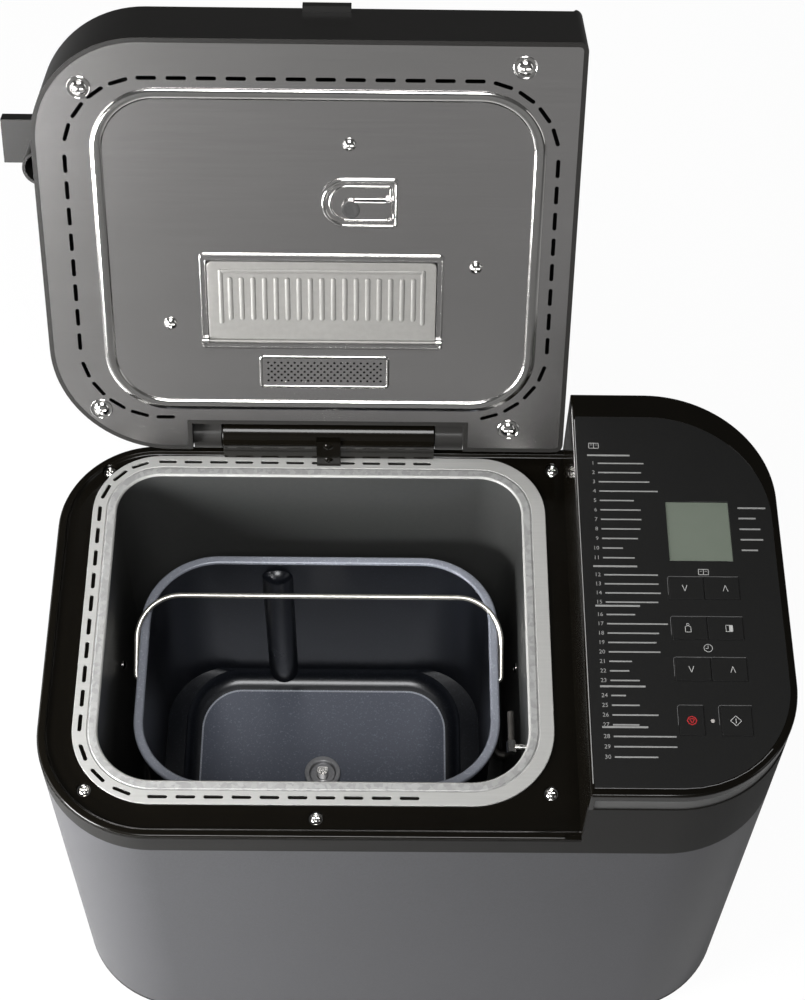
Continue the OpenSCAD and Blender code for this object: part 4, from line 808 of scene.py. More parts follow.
def eased(node: str, width: float = 0.4, segments: int = 2,
          finish: Finish | None = None) -> bpy.types.Object:
    """Replaces a CAD node by a copy with eased edges, in its slot's finish or another, and returns it.

    Args:
        node: the CAD node.
        width: the width of the eased edges.
        segments: how many facets they have.
        finish: a finish other than the slot's.

    Returns:
        The piece.
    """
    piece = from_node(node, node + "_eased")
    Bench.rounded(piece, width, segments)
    dress(piece, BODY_OF[node], finish or SLOT_FINISH[SLOT_OF[node]], (node,))
    return piece


@dataclass(frozen=True)
class CrossHeadScrew:
    """A domed screw with a cross recess, its seat at the origin and its head up.

    The crown's steps and the cross (half length, half width, depth, end) are shares of radius and height.
    """

    radius: float
    height: float
    collar: float = 0.0
    crown: tuple[Step, ...] = ((0.08, 0.22), (0.14, 0.22), (0.2, 0.18), (0.2, 0.1), (0.12, 0.03))
    cross: tuple[float, float, float, float] = (0.58, 0.11, 0.45, 1.4)
    collar_steps: tuple[Step, ...] = ((0.25, 0.15), (0.35, 0.0), (0.25, -0.15))
    sides: int = 28

    def build(self) -> bpy.types.Object:
        """Returns the head, shaped from a short cylinder.

        Returns:
            The piece.
        """
        r, h = self.radius, self.height
        head = Bench.post("screw_head", 0, 0, r, 0, h * 0.25, self.sides)
        Bench.edit(head)
        Bench.pick_faces(lambda c, n: n.z > LOOKS_ALONG)
        Bench.walk([(r * a, h * b) for a, b in self.crown])
        length, width, depth, end = self.cross
        low, high = (-r * length, -r * width, h * depth), (r * length, r * width, h * end)
        bars = [Bench.block("bar", low, high) for _ in range(2)]
        Bench.place(bars[1], Matrix.Rotation(math.pi / 2, 4, "Z"))
        Bench.cut(head, [bars[0]])
        Bench.cut(head, [bars[1]])
        if self.collar:
            ring = Bench.post("collar", 0, 0, self.collar, 0, 0.25, self.sides)
            Bench.edit(ring)
            Bench.pick_faces(lambda c, n: n.z > LOOKS_ALONG)
            Bench.walk(self.collar_steps)
            head = Bench.joined([ring, head], "screw_head")
        Bench.done(head, 30)
        return head


def place_screws(name: str, screw: CrossHeadScrew, moves: Sequence[Matrix], body: str, node: str) -> None:
    """Puts one screw at each place and joins them into one piece.

    Args:
        name: the piece's name.
        screw: the screw.
        moves: where each one goes.
        body: the body that they ride on.
        node: the CAD node that they replace.
    """
    first = screw.build()
    heads = [Bench.copy(first, "head", move) for move in moves]
    bpy.data.objects.remove(first)
    piece = Bench.joined(heads, name)
    dress(piece, body, POLISHED, (node,))


def at(x: float, y: float, z: float) -> Matrix:
    """Returns the move to a place in millimetres.

    Args:
        x: its place to the right.
        y: its place to the back.
        z: its height.

    Returns:
        The move.
    """
    return Matrix.Translation((x * MM, y * MM, z * MM))


@dataclass
class Housing:
    """The painted wrap, the charcoal band, the gloss deck, the base and its feet."""

    deck: Outline = Outline(-203.4, -125.4, 152.0, 125.4, (64.4, 20.0, 20.0, 55.4))
    mouth: Outline = Outline(-172.3, -92.8, 67.3, 106.8, (32.2, 32.2, 25.2, 25.2))
    console_side: float = 92.0
    seat: Outline = Outline(-185.5, -106.0, 80.5, 120.0, (46.5, 46.5, 39.5, 39.5))
    rim_top: float = 271.9
    floor: float = 269.0
    screws: tuple[tuple[float, float], ...] = ((-177, 108), (-175.5, -97.5), (-50, -113.2), (77, -97.5),
                                               (85, 112))
    recess: float = 4.3
    above: float = 280
    band_round: float = 0.5
    face: tuple[float, float] = (203.9, 125.9)
    bend: tuple[float, float, float] = (138, 60, 65)
    notch: tuple[tuple[float, float, float], tuple[float, float, float]] = ((83, -140, 271), (93, -113, 280))

    def build(self) -> None:
        """Builds every piece of the housing."""
        eased("body_wrap", 0.45, 3)
        self._band()
        self._deck()
        eased("base_plate", 0.6)
        eased("feet", 1.2, 3)
        moves = [at(x, y, self.floor - 1) for x, y in self.screws]
        place_screws("deck_screw_heads", CrossHeadScrew(3.1, 1.9, 3.9), moves, "root", "deck_screws")

    def _band(self) -> None:
        """Builds the charcoal band, with a wider round on its outer edge."""
        piece = from_node("top_frame", "charcoal_band")
        Bench.edit(piece, "EDGE")
        Bench.pick_edges(lambda a, b: min(a.z, b.z) > DECK_LEVEL - 0.1 and max(a.z, b.z) < DECK_LEVEL + 0.1
                         and self._outer(a) and self._outer(b))
        bpy.ops.mesh.bevel(offset=self.band_round * MM, segments=3, affect="EDGES")
        Bench.rounded(piece, 0.2, 2, 60)
        dress(piece, "root", CHARCOAL, ("top_frame",))

    def _outer(self, point: Vector) -> bool:
        """Says whether a point lies on the body's outer face.

        Args:
            point: the point.

        Returns:
            True where it does.
        """
        x, y, radius = self.bend
        corner = math.hypot(abs(point.x) - x, abs(point.y) - y)
        return abs(point.x) > self.face[0] or abs(point.y) > self.face[1] or corner > radius

    def _deck(self) -> None:
        """Builds the deck: a rolled rim, a soft step inside it, the mouth and the screws' recesses."""
        rise = self.rim_top - DECK_LEVEL
        steps = [(0, rise * 0.35), *fillet(1.3, rise * 0.65, 5), (2.3, 0), *roll(0.8, 0.8, 4),
                 *fillet(1.6, -1.42, 5), (3.6, 0), (1.2, -0.12), (1.4, -0.22), (1.4, -0.22), (1.2, -0.12)]
        piece = Bench.slab("gloss_deck", self.deck, DECK_LEVEL - 4, DECK_LEVEL, steps, facets=24)
        Bench.edit(piece)
        bpy.ops.mesh.select_all(action="SELECT")
        bpy.ops.mesh.bisect(plane_co=(self.console_side * MM, 0, 0), plane_no=(1, 0, 0), use_fill=True,
                            clear_outer=True)
        mouth = Bench.slab("mouth", self.mouth, 240, 290, facets=16)
        Bench.cut(piece, [mouth, Bench.block("notch", *self.notch)])
        Bench.cut(piece, [Bench.slab("seat", self.seat, self.floor - 0.3, 290, facets=20)])
        low, high = self.floor - 1, self.above
        Bench.cut(piece, [Bench.post("recess", x, y, self.recess, low, high, 40) for x, y in self.screws])
        Bench.rounded(piece, 0.25, 2, 50)
        dress(piece, "root", GLOSS_BLACK, ("deck",))


@dataclass
class Oven:
    """The galvanised ring, the liner, the heater and what is fixed in them."""

    ring: Outline = Outline(-185, -105.5, 80, 119.5, (46.0, 46.0, 39.0, 39.0))
    low: float = 269.0
    lip: float = 257.0
    plain: float = 66.0
    slot_in: float = 4.2
    slot_pitch: float = 15.1
    slot_size: tuple[float, float] = (10.8, 2.3)
    liner_walls: tuple[float, float] = (-171.1, 66.1)
    liner_screw: tuple[float, float] = (23.0, 187.0)
    liner_floor: float = 45.0
    middle: tuple[float, float] = (-52.5, 7.0)
    seat_clear: float = 60.0
    floor_round: float = 6
    groove: tuple[float, float, float] = (8.2, 12.8, 269.5)
    # Depth inside the ring and height under which its lip takes the liner's dark enamel, as painted shade.
    lip_painted_shade: tuple[float, float] = (13.5, 268)
    sensor_stub: float = -0.0545

    def build(self) -> None:
        """Builds every piece of the oven."""
        self._ring()
        self._liner()
        eased("heater_tube", 0.1, 1)
        eased("heater_terminals", 0.6)
        self._sensor()
        eased("pan_seat", 0.5)
        left, right = self.liner_walls
        moves = [at(left, *self.liner_screw) @ Matrix.Rotation(math.pi / 2, 4, "Y"),
                 at(right, *self.liner_screw) @ Matrix.Rotation(-math.pi / 2, 4, "Y")]
        place_screws("liner_screw_heads", CrossHeadScrew(3.0, 1.6), moves, "root", "liner_screws")

    def _ring(self) -> None:
        """Builds the ring: a flange with slots, a shallow groove, and an inner lip rolled down."""
        drop = DECK_LEVEL - self.lip
        top = [*fillet(0.35, 0.4, 3), (7.4, 0), (0.35, -0.3), (0.5, 0), (0.5, 0.42), (3.6, 0.1),
               *roll(1.3, 1.3, 5), (0, -(drop - 1.3 + 0.2))]
        under = [(13.9, 0), (0, self.low - self.lip)]
        piece = Bench.slab("oven_ring_rolled", self.ring, self.low, self.low + 0.6, top, under, facets=20)
        inner = self.low + 0.6 + sum(rise for _, rise in top)
        Bench.open_through(inner, self.lip)
        Bench.outward()
        slots = Bench.slot_cutters(self.ring.shrink(self.slot_in), self.slot_pitch, *self.slot_size,
                                   self.low - 1, self.low + 2, lambda x, y, turn: self._before(x, turn))
        Bench.cut(piece, slots)
        Bench.done(piece, 28)
        dress(piece, "root", GALVANISED, ("oven_ring",))
        piece.data.materials.append(GALVANISED_BAND.material())
        piece.data.materials.append(OVEN_ENAMEL.material())
        for face in piece.data.polygons:
            middle = face.center / MM
            inside = self.ring.depth(middle.x, middle.y)
            if self.groove[0] < inside < self.groove[1] and middle.z > self.groove[2]:
                face.material_index = 1
            # The lip rolled down into the oven gets the liner's dark enamel: painted shade on the galvanised
            # sheet.
            elif inside > self.lip_painted_shade[0] and middle.z < self.lip_painted_shade[1]:
                face.material_index = 2

    def _before(self, x: float, turn: float) -> bool:
        """Says whether a slot ends left of the ring's plain part.

        Args:
            x: the slot's middle.
            turn: its turn in degrees.

        Returns:
            True where it does.
        """
        lies_along = abs(math.sin(math.radians(turn))) < 0.1 or turn > 90
        return x + (self.slot_size[0] / 2 if lies_along else 0.0) < self.ring.x1 - self.plain

    def _liner(self) -> None:
        """Builds the liner with a rounded turn between its floor and its walls."""
        piece = from_node("oven_liner", "oven_liner_pressed")
        Bench.edit(piece, "EDGE")
        Bench.pick_edges(lambda a, b: self._floor_edge(a) and self._floor_edge(b))
        bpy.ops.mesh.bevel(offset=self.floor_round * MM, segments=5, affect="EDGES")
        Bench.rounded(piece, 0.25, 1, 60)
        dress(piece, "root", OVEN_ENAMEL, ("oven_liner",))

    def _floor_edge(self, point: Vector) -> bool:
        """Says whether a point lies on the liner's floor, clear of the pan's seat.

        Args:
            point: the point.

        Returns:
            True where it does.
        """
        away = math.hypot(point.x - self.middle[0], point.y - self.middle[1])
        return abs(point.z - self.liner_floor) < 0.01 and away > self.seat_clear

    def _sensor(self) -> None:
        """Builds the temperature sensor: a bright stub on the wall, and a dark arm behind it."""
        piece = eased("temperature_sensor", 0.6, 3)
        piece.data.materials.append(HEATER.material())
        for face in piece.data.polygons:
            if face.center.y > self.sensor_stub:
                face.material_index = 1


@dataclass
class BreadPan:
    """The pan with its rolled rim, kneading rib, ears, bail, foot and kneading mount."""

    rim: Outline = Outline(-159, -71, 54, 85, (45.5, 45.5, 45.5, 45.5))
    rim_under: float = 210.0
    rim_top: float = 213.0
    floor: float = 68.0
    wall: float = 1.4
    rim_width: float = 5.5
    turn: float = 11.0
    taper: float = 0.885
    middle: tuple[float, float] = (-52.5, 7.0)
    rib: tuple[float, float, float] = (-79.5, 84.0, 10.5)
    rib_cut: float = 80.4
    rib_below: float = 16
    hub: float = 6.6
    mount: tuple[float, float] = (11.5, 2.4)

    def build(self) -> None:
        """Builds every piece of the pan."""
        self._shell()
        self._kneading_rib()
        self._mount()
        eased("pan_foot", 0.5)
        eased("pan_ears", 0.5, 2, PAN_EDGE)
        eased("kneading_shaft", 0.5)
        eased("pan_coupling", 0.5)
        frame["nodes"]["bail_handle"].data.materials.clear()
        frame["nodes"]["bail_handle"].data.materials.append(BAIL_STEEL.material())

    def _shell(self) -> None:
        """Builds the pan as one closed shell, carried over its rim and down both faces."""
        deep = self.rim_top - self.floor
        inside = [(0, 1.2), *fillet(1.3, self.rim_top - self.rim_under - 1.2 - 0.3, 4), (2.6, 0),
                  *roll(1.6, 1.6, 4), (0, -(deep - 1.6 - self.turn)), *fillet(self.turn, -self.turn, 8),
                  (1.2, 0), (8, -0.2)]
        out = self.rim_under - self.floor + self.wall
        outside = [(self.rim_width - self.wall, 0), (0, out - self.turn), *fillet(self.turn, self.turn, 8)]
        piece = Bench.slab("bread_pan_shell", self.rim, self.rim_under, self.rim_under + 0.3, inside,
                           outside, facets=20)
        Bench.edit(piece)
        Bench.pick_faces(lambda c, n: self.floor - 0.3 < c.z < self.floor + self.turn + 0.5
                         and self.rim.depth(c.x, c.y) > 6)
        bpy.ops.transform.resize(value=(self.taper, 1, 1), center_override=(self.middle[0] * MM, 0, 0))
        Bench.cut(piece, [Bench.post("hub", *self.middle, self.hub, 50, 90)])
        Bench.done(piece, 30)
        dress(piece, "pan", PAN_COATING, ("bread_pan",))
        for finish in (PAN_EDGE, PAN_FLOOR_PAINTED_LIGHT, FLOOR_EDGE_HIGHLIGHT):
            piece.data.materials.append(finish.material())
        edge = self.rim_width + self.turn
        for face in piece.data.polygons:
            middle = face.center / MM
            inside = self.rim.depth(self.middle[0] + (middle.x - self.middle[0]) / self.taper, middle.y)
            if middle.z > self.rim_under - 0.5:
                face.material_index = 1
            # Faces of the floor that look up get the lighter copy of the coating, as painted light.
            elif middle.z < self.floor + 2.5 and inside > edge - 0.9 and face.normal.z > 0.2:
                # A thin ring at the floor's edge gets the painted highlight.
                face.material_index = 3 if inside < edge + 0.9 else 2

    def _kneading_rib(self) -> None:
        """Builds the upright rib on the back wall, with a rounded top."""
        x, y, r = self.rib
        piece = Bench.post("kneading_rib", x, y, r, self.floor - 0.5, self.rim_top - self.rib_below, 40)
        Bench.edit(piece)
        Bench.pick_faces(lambda c, n: n.z > LOOKS_ALONG)
        Bench.walk(fillet(r * 0.92, 8, 8))
        bpy.ops.mesh.select_all(action="SELECT")
        bpy.ops.mesh.bisect(plane_co=(0, self.rib_cut * MM, 0), plane_no=(0, 1, 0), use_fill=True,
                            clear_outer=True)
        Bench.done(piece, 30)
        dress(piece, "pan", PAN_COATING)

    def _mount(self) -> None:
        """Builds the kneading mount: a rounded ring about the shaft."""
        radius, height = self.mount
        low, high = self.floor - 0.3, self.floor + height
        piece = Bench.post("kneading_mount_ring", *self.middle, radius, low, high, 48)
        Bench.edit(piece)
        Bench.pick_faces(lambda c, n: n.z > LOOKS_ALONG)
        Bench.walk([*fillet(1.2, 1.2, 4), (1.4, 0), *roll(1.0, 1.0, 3), (0, -2.0), (2.2, 0)])
        bpy.ops.mesh.delete(type="FACE")
        Bench.pick_faces(lambda c, n: n.z < -LOOKS_ALONG)
        Bench.walk([(6.0, 0)], -1)
        bpy.ops.mesh.delete(type="FACE")
        Bench.bridge()
        Bench.outward()
        Bench.done(piece, 30)
        dress(piece, "pan", CAST)
        eased("kneading_mount", 0.3)


@dataclass
class Print:
    """Flat signs on the console, each a thin raised shape: lines, rings and plain numbers."""

    z: float = PANEL_LEVEL
    raised: float = 0.04
    sunk: float = 0.02
    parts: list[bpy.types.Object] = field(default_factory=list)

    def line(self, x0: float, y0: float, x1: float, y1: float, width: float) -> None:
        """Adds a straight stroke.

        Args:
            x0: where it starts, to the right.
            y0: where it starts, to the back.
            x1: where it ends, to the right.
            y1: where it ends, to the back.
            width: its width.
        """
        length = math.hypot(x1 - x0, y1 - y0)
        low, high = (0, -width / 2, self.z - self.sunk), (length, width / 2, self.z + self.raised)
        bar = Bench.block("stroke", low, high)
        Bench.place(bar, at(x0, y0, 0) @ Matrix.Rotation(math.atan2(y1 - y0, x1 - x0), 4, "Z"))
        self.parts.append(bar)

    def lines(self, points: Sequence[tuple[float, float]], width: float) -> None:
        """Adds strokes through points.

        Args:
            points: the points.
            width: their width.
        """
        for a, b in zip(points, points[1:]):
            self.line(*a, *b, width)

    def ring(self, x: float, y: float, r: float, width: float, sides: int = 28) -> None:
        """Adds a ring of a number of sides.

        Args:
            x: its place to the right.
            y: its place to the back.
            r: its radius.
            width: its width.
            sides: how many sides it has.
        """
        disc = Bench.post("ring", x, y, r, self.z - self.sunk, self.z + self.raised, sides)
        Bench.edit(disc)
        Bench.pick_faces(lambda c, n: abs(n.z) > LOOKS_ALONG)
        bpy.ops.mesh.inset(thickness=width * MM)
        bpy.ops.mesh.delete(type="FACE")
        Bench.bridge()
        Bench.clear()
        self.parts.append(disc)

    def figure(self, text: str, x: float, y: float, size: float) -> None:
        """Adds a plain number, right-aligned at a place.

        Args:
            text: the number.
            x: its place to the right.
            y: its place to the back.
            size: its height.
        """
        Bench.clear()
        bpy.ops.object.text_add(location=(0, 0, 0))
        words = bpy.context.object
        words.data.body = text
        words.data.size = size * MM
        words.data.align_x = "RIGHT"
        words.data.align_y = "CENTER"
        words.data.resolution_u = 2
        words.data.extrude = self.raised / 2 * MM
        bpy.ops.object.convert(target="MESH")
        piece = bpy.context.object
        Bench.place(piece, at(x, y, self.z + self.raised / 2))
        self.parts.append(piece)

    def finish(self, name: str, finish: Finish) -> None:
        """Joins the signs made so far into one piece in a finish.

        Args:
            name: the piece's name.
            finish: the finish.
        """
        piece = Bench.joined(self.parts, name)
        self.parts = []
        dress(piece, "root", finish)


@dataclass
class Console:
    """The console's cover, panel, display, keys and its plain signs."""

    list_rows: tuple[tuple[float, float, int, tuple[int, ...]], ...] = (
        (83.5, 6.2, 1, (30, 28, 33, 38, 22, 26, 26, 25, 23, 13, 20)), (10.7, 5.7, 12, (34, 34, 35, 33)),
        (-14.1, 5.7, 16, (18, 38, 32, 30, 32, 14, 12, 18)), (-62.9, 5.7, 24, (9, 17, 28, 16)),
        (-86.7, 5.9, 28, (38, 38, 26)))
    label_rows: tuple[tuple[float, float], ...] = ((49.0, 15.5), (42.2, 9.5), (35.2, 11.5), (28.4, 12.5),
                                                   (21.6, 9.0))
    list_left: float = 99.5
    list_head: float = 24
    numbers_right: float = 103.4
    words_left: float = 105.2
    labels_left: float = 181.5
    edge: tuple[float, float, float] = (92.1, 125.8, 203.8)
    bend: tuple[float, float, float] = (138, 58, 65)
    cover_round: float = 1.6
    quarter: tuple[float, ...] = (0.0, 0.52, 1.05, 1.57)
    front_bend: tuple[float, ...] = (0.0, 0.15, 0.3, 0.45, 0.6, 0.75, 0.9)
    keys_left: float = 140.0
    pair: tuple[float, float] = (38.0, 13.5)
    pairs_y: tuple[float, float, float] = (-2.75, -27.6, -52.45)

    def build(self) -> None:
        """Builds every piece of the console."""
        self._cover()
        eased("console_trim", 0.4, 3)
        eased("panel_face", 0.15, 1)
        eased("display_window", 0.5, 3)
        for node in (n for n, slot in SLOT_OF.items() if slot == "panel_black" and n != "panel_face"):
            eased(node, 0.12, 1)
        self._frames()
        self._signs()
        self._list()
        eased("start_light", 0.2)
        eased("display_module", 0.2)
        eased("control_board", 0.2)

    def _cover(self) -> None:
        """Builds the gloss cover with a rolled outer edge."""
        piece = from_node("console_shell", "console_cover")
        Bench.edit(piece, "EDGE")
        Bench.pick_edges(lambda a, b: min(a.z, b.z) > PANEL_LEVEL - 0.1 and self._edge(a) and self._edge(b))
        bpy.ops.mesh.bevel(offset=self.cover_round * MM, segments=5, affect="EDGES")
        Bench.rounded(piece, 0.2, 1, 60)
        dress(piece, "root", GLOSS_BLACK, ("console_shell",))

    def _edge(self, point: Vector) -> bool:
        """Says whether a point lies on the cover's outer edge.

        Args:
            point: the point.

        Returns:
            True where it does.
        """
        left, back, right = self.edge
        x, y, radius = self.bend
        far = math.hypot(max(point.x - x, 0), max(abs(point.y) - y, 0))
        return point.x < left or abs(point.y) > back or point.x > right or far > radius

    def _frames(self) -> None:
        """Builds the thin lines over and left of the keys, and along the panel's left and front edges."""
        signs = Print()
        boxes = [(self.keys_left, y + self.pair[1] / 2, self.pair[0]) for y in self.pairs_y]
        boxes += [(140.0, -74.2, 13.0), (161.5, -74.2, 17.0)]
        for x, y, width in boxes:
            signs.lines([(x + width, y + 0.6), (x + 0.9, y + 0.6)], 0.22)
            bend = [(x + 0.9 - 1.5 * math.sin(a), y - 0.9 + 1.5 * math.cos(a)) for a in self.quarter]
            signs.lines(bend, 0.22)
            signs.lines([(x - 0.6, y - 0.9), (x - 0.6, y - 11.0)], 0.22)
        signs.finish("key_frame_lines", PRINT_GREY)
        edge = Print()
        edge.line(93.3, -119, 93.3, 108, 0.5)
        edge.finish("panel_side_line", PRINT_LIST)
        front = Print()
        bend = [(140 + 60.5 * math.sin(a), -61 - 60.5 * math.cos(a)) for a in self.front_bend]
        front.lines([(94, -121.5), *bend], 0.35)
        front.finish("panel_front_line", PRINT_GREY)

    def _signs(self) -> None:
        """Builds the keys' signs: arrows, a loaf, a half square, a clock, a stop and a start sign."""
        signs = Print(z=KEY_LEVEL)
        for y, xs in ((self.pairs_y[0], (148.5, 170.5)), (self.pairs_y[2], (148.5, 170.5))):
            for x, way in zip(xs, (-1, 1)):
                signs.lines([(x - 1.3, y - way * 1.9), (x, y + way * 1.9), (x + 1.3, y - way * 1.9)], 0.32)
        y = self.pairs_y[1]
        signs.lines([(147, y - 2.4), (150, y - 2.4), (150, y + 0.8), (149, y + 1.4), (148, y + 1.4),
                     (147, y + 0.8), (147, y - 2.4)], 0.3)
        signs.ring(148.5, y + 2.2, 0.8, 0.28, 16)
        signs.lines([(168.8, y - 1.9), (172.4, y - 1.9), (172.4, y + 1.9), (168.8, y + 1.9),
                     (168.8, y - 1.9)], 0.28)
        signs.line(171.4, y - 1.8, 171.4, y + 1.8, 1.7)
        signs.lines([(169.6, -85.6), (172.5, -82.7), (169.6, -79.8), (166.7, -82.7), (169.6, -85.6)], 0.34)
        signs.line(169.6, -84.0, 169.6, -81.4, 0.4)
        signs.finish("key_signs", PRINT_WHITE)
        red = Print(z=KEY_LEVEL)
        red.ring(146.6, -82.7, 2.7, 0.5, 8)
        red.lines([(145.2, -81.7), (148.0, -81.7), (146.6, -84.3), (145.2, -81.7)], 0.45)
        red.finish("stop_sign", PRINT_RED)
        flat = Print()
        flat.ring(158.4, -39.6, 2.4, 0.3)
        flat.lines([(158.4, -38.0), (158.4, -39.8), (157.0, -39.8)], 0.3)
        self._book(flat, 159.4, 7.5)
        self._book(flat, 103.4, 90.0)
        flat.finish("panel_signs", PRINT_WHITE)

    @staticmethod
    def _book(signs: Print, x: float, y: float) -> None:
        """Adds an open book at a place.

        Args:
            signs: the signs it is added to.
            x: its place to the right.
            y: its place to the back.
        """
        signs.lines([(x - 2.7, y - 1.7), (x + 2.7, y - 1.7), (x + 2.7, y + 1.7), (x - 2.7, y + 1.7),
                     (x - 2.7, y - 1.7)], 0.3)
        signs.line(x, y - 1.7, x, y + 1.9, 0.3)
        for side in (-1, 1):
            signs.line(x + side * 0.8, y + 0.5, x + side * 2.0, y + 0.5, 0.22)

    def _list(self) -> None:
        """Builds the programme list: plain numbers, and plain bars for its words."""
        signs = Print()
        for top, pitch, first, widths in self.list_rows:
            signs.line(self.list_left, top, self.list_left + self.list_head, top, 1.1)
            for i, width in enumerate(widths):
                y = top - 5.4 - i * pitch
                signs.figure(str(first + i), self.numbers_right, y, 3.4)
                signs.line(self.words_left, y, self.words_left + width * 0.86, y, 0.85)
        for y, width in self.label_rows:
            signs.line(self.labels_left, y, self.labels_left + width, y, 1.0)
        signs.finish("programme_list", PRINT_LIST)


@dataclass
class Lid:
    """The lid's shell, its inner plate and what is set in it. It is shaped closed and then opened."""

    plate: float = 273.0
    frame_box: Outline = Outline(-118, -2, 17.5, 58, (3.0, 3.0, 3.0, 3.0))
    inner_box: Outline = Outline(-115.0, 1.0, 14.5, 55.0, (1.8, 1.8, 1.8, 1.8))
    flap_box: Outline = Outline(-113.5, 2.5, 13, 53.5, (3.0, 3.0, 3.0, 3.0))
    bead: Outline = Outline(-173, -98.5, 70, 98.5, (36.0, 36.0, 36.0, 36.0))
    vent: Outline = Outline(-86.0, 62.4, -12.4, 83.6, (2.5, 2.5, 2.5, 2.5))
    yeast: Outline = Outline(-50.2, -47.7, -8.2, -18.2, (14.2, 3.5, 3.5, 14.2))
    yeast_inner: Outline = Outline(-46.2, -43.7, -11.7, -22.2, (10.4, 2.2, 2.2, 10.4))
    disc: tuple[float, float] = (-34.2, -30.2)
    corner_screws: tuple[tuple[float, float], ...] = (
        (-176.3, -98.1), (56.6, -111.8), (-177.4, 99.1), (56.9, 110.6))
    inner_screws: tuple[tuple[float, float], ...] = ((-35, -67.5), (34.5, 5.2), (-135, 42.1))
    face: tuple[float, float, float] = (-203.9, 88.9, 125.9)
    gap: tuple[float, float] = (-126.1, 31.1)
    bend_start: float = -138
    back_bend: tuple[float, float, float] = (138, 60, 65.8)
    front_bend: tuple[float, float, float] = (144, 66, 59.8)
    top: float = 319.0
    rim_round: float = 3.0
    pressed: float = 1.2
    ribs: int = 17
    rib_half: float = 1.35
    rib_round: float = 1.25
    hinge_pin: tuple[float, float, float] = (-50.25, 52.1, 271.4)

    def build(self) -> None:
        """Builds every piece of the lid."""
        self._shell()
        self._plate()
        self._dispenser_frame()
        self._flap()
        self._valve()
        self._screws()
        eased("steam_vent", 0.12, 1)
        eased("dispenser_lid", 1.2, 4)
        eased("dispenser_box", 0.4)
        eased("yeast_hopper", 0.4)

    @staticmethod
    def _closed(piece: bpy.types.Object) -> None:
        """Turns a piece to where it is when the lid is closed.

        Args:
            piece: the piece.
        """
        Bench.place(piece, LID_OPEN.inverted())

    @staticmethod
    def _open(piece: bpy.types.Object) -> None:
        """Turns a piece to where it is when the lid is open.

        Args:
            piece: the piece.
        """
        Bench.place(piece, LID_OPEN)

    def _shell(self) -> None:
        """Builds the lid's shell with a wide round on its outer edge."""
        piece = from_node("lid_shell", "lid_shell_rounded")
        self._closed(piece)
        Bench.edit(piece, "EDGE")
        Bench.pick_edges(lambda a, b: min(a.z, b.z) > self.top - 0.01 and self._rim(a) and self._rim(b))
        bpy.ops.mesh.bevel(offset=self.rim_round * MM, segments=6, affect="EDGES")
        self._open(piece)
        Bench.rounded(piece, 0.35, 2, 50)
        dress(piece, "lid", LID_PLASTIC, ("lid_shell",))

    def _rim(self, point: Vector) -> bool:
        """Says whether a point lies on the lid's outer face.

        Args:
            point: the point.

        Returns:
            True where it does.
        """
        left, right, back = self.face
        behind = point.y > back and not self.gap[0] < point.x < self.gap[1]
        if point.x < left or point.x > right or point.y < -back or behind:
            return True
        x, y, radius = self.back_bend if point.y > 0 else self.front_bend
        return point.x < self.bend_start and math.hypot(point.x + x, abs(point.y) - y) > radius

    def _plate(self) -> None:
        """Builds the inner plate: the sheet with its slots, and half-round ridges for its bead and vent."""
        piece = from_node("lid_plate", "lid_plate_pressed")
        self._closed(piece)
        Bench.edit(piece)
        Bench.pick_faces(lambda c, n: n.z < -LOOKS_ALONG and c.z < self.plate - self.pressed)
        bpy.ops.transform.resize(value=(1, 1, 0.1), center_override=(0, 0, self.plate * MM))
        self._open(piece)
        Bench.done(piece, 4)
        dress(piece, "lid", LID_STEEL, ("lid_plate",))
        self._ridge("lid_plate_bead", self.bead, 3.2, 1.4, POLISHED)
        self._ridge("vent_border", self.vent, 0.9, 0.6, POLISHED)

    def _ridge(self, name: str, outline: Outline, half: float, height: float, finish: Finish) -> None:
        """Builds a half-round ridge along an outline on the plate.

        Args:
            name: the piece's name.
            outline: the ridge's outer edge.
            half: half its width.
            height: its height.
            finish: its finish.
        """
        crown = [*fillet(half, height, 7), *roll(half, height, 7)]
        top = self.plate + 0.2
        piece = Bench.slab(name, outline, self.plate, top, (), crown, 16)
        Bench.open_through(top, self.plate)
        Bench.outward()
        self._open(piece)
        Bench.done(piece, 50)
        dress(piece, "lid", finish)

    def _dispenser_frame(self) -> None:
        """Builds the frame round the flap, with a double raised border."""
        eased("dispenser_frame", 0.2, 2)
        self._ridge("dispenser_border", self.frame_box, 1.1, 0.95, POLISHED)
        self._ridge("dispenser_inner_border", self.inner_box, 0.55, 0.85, POLISHED)

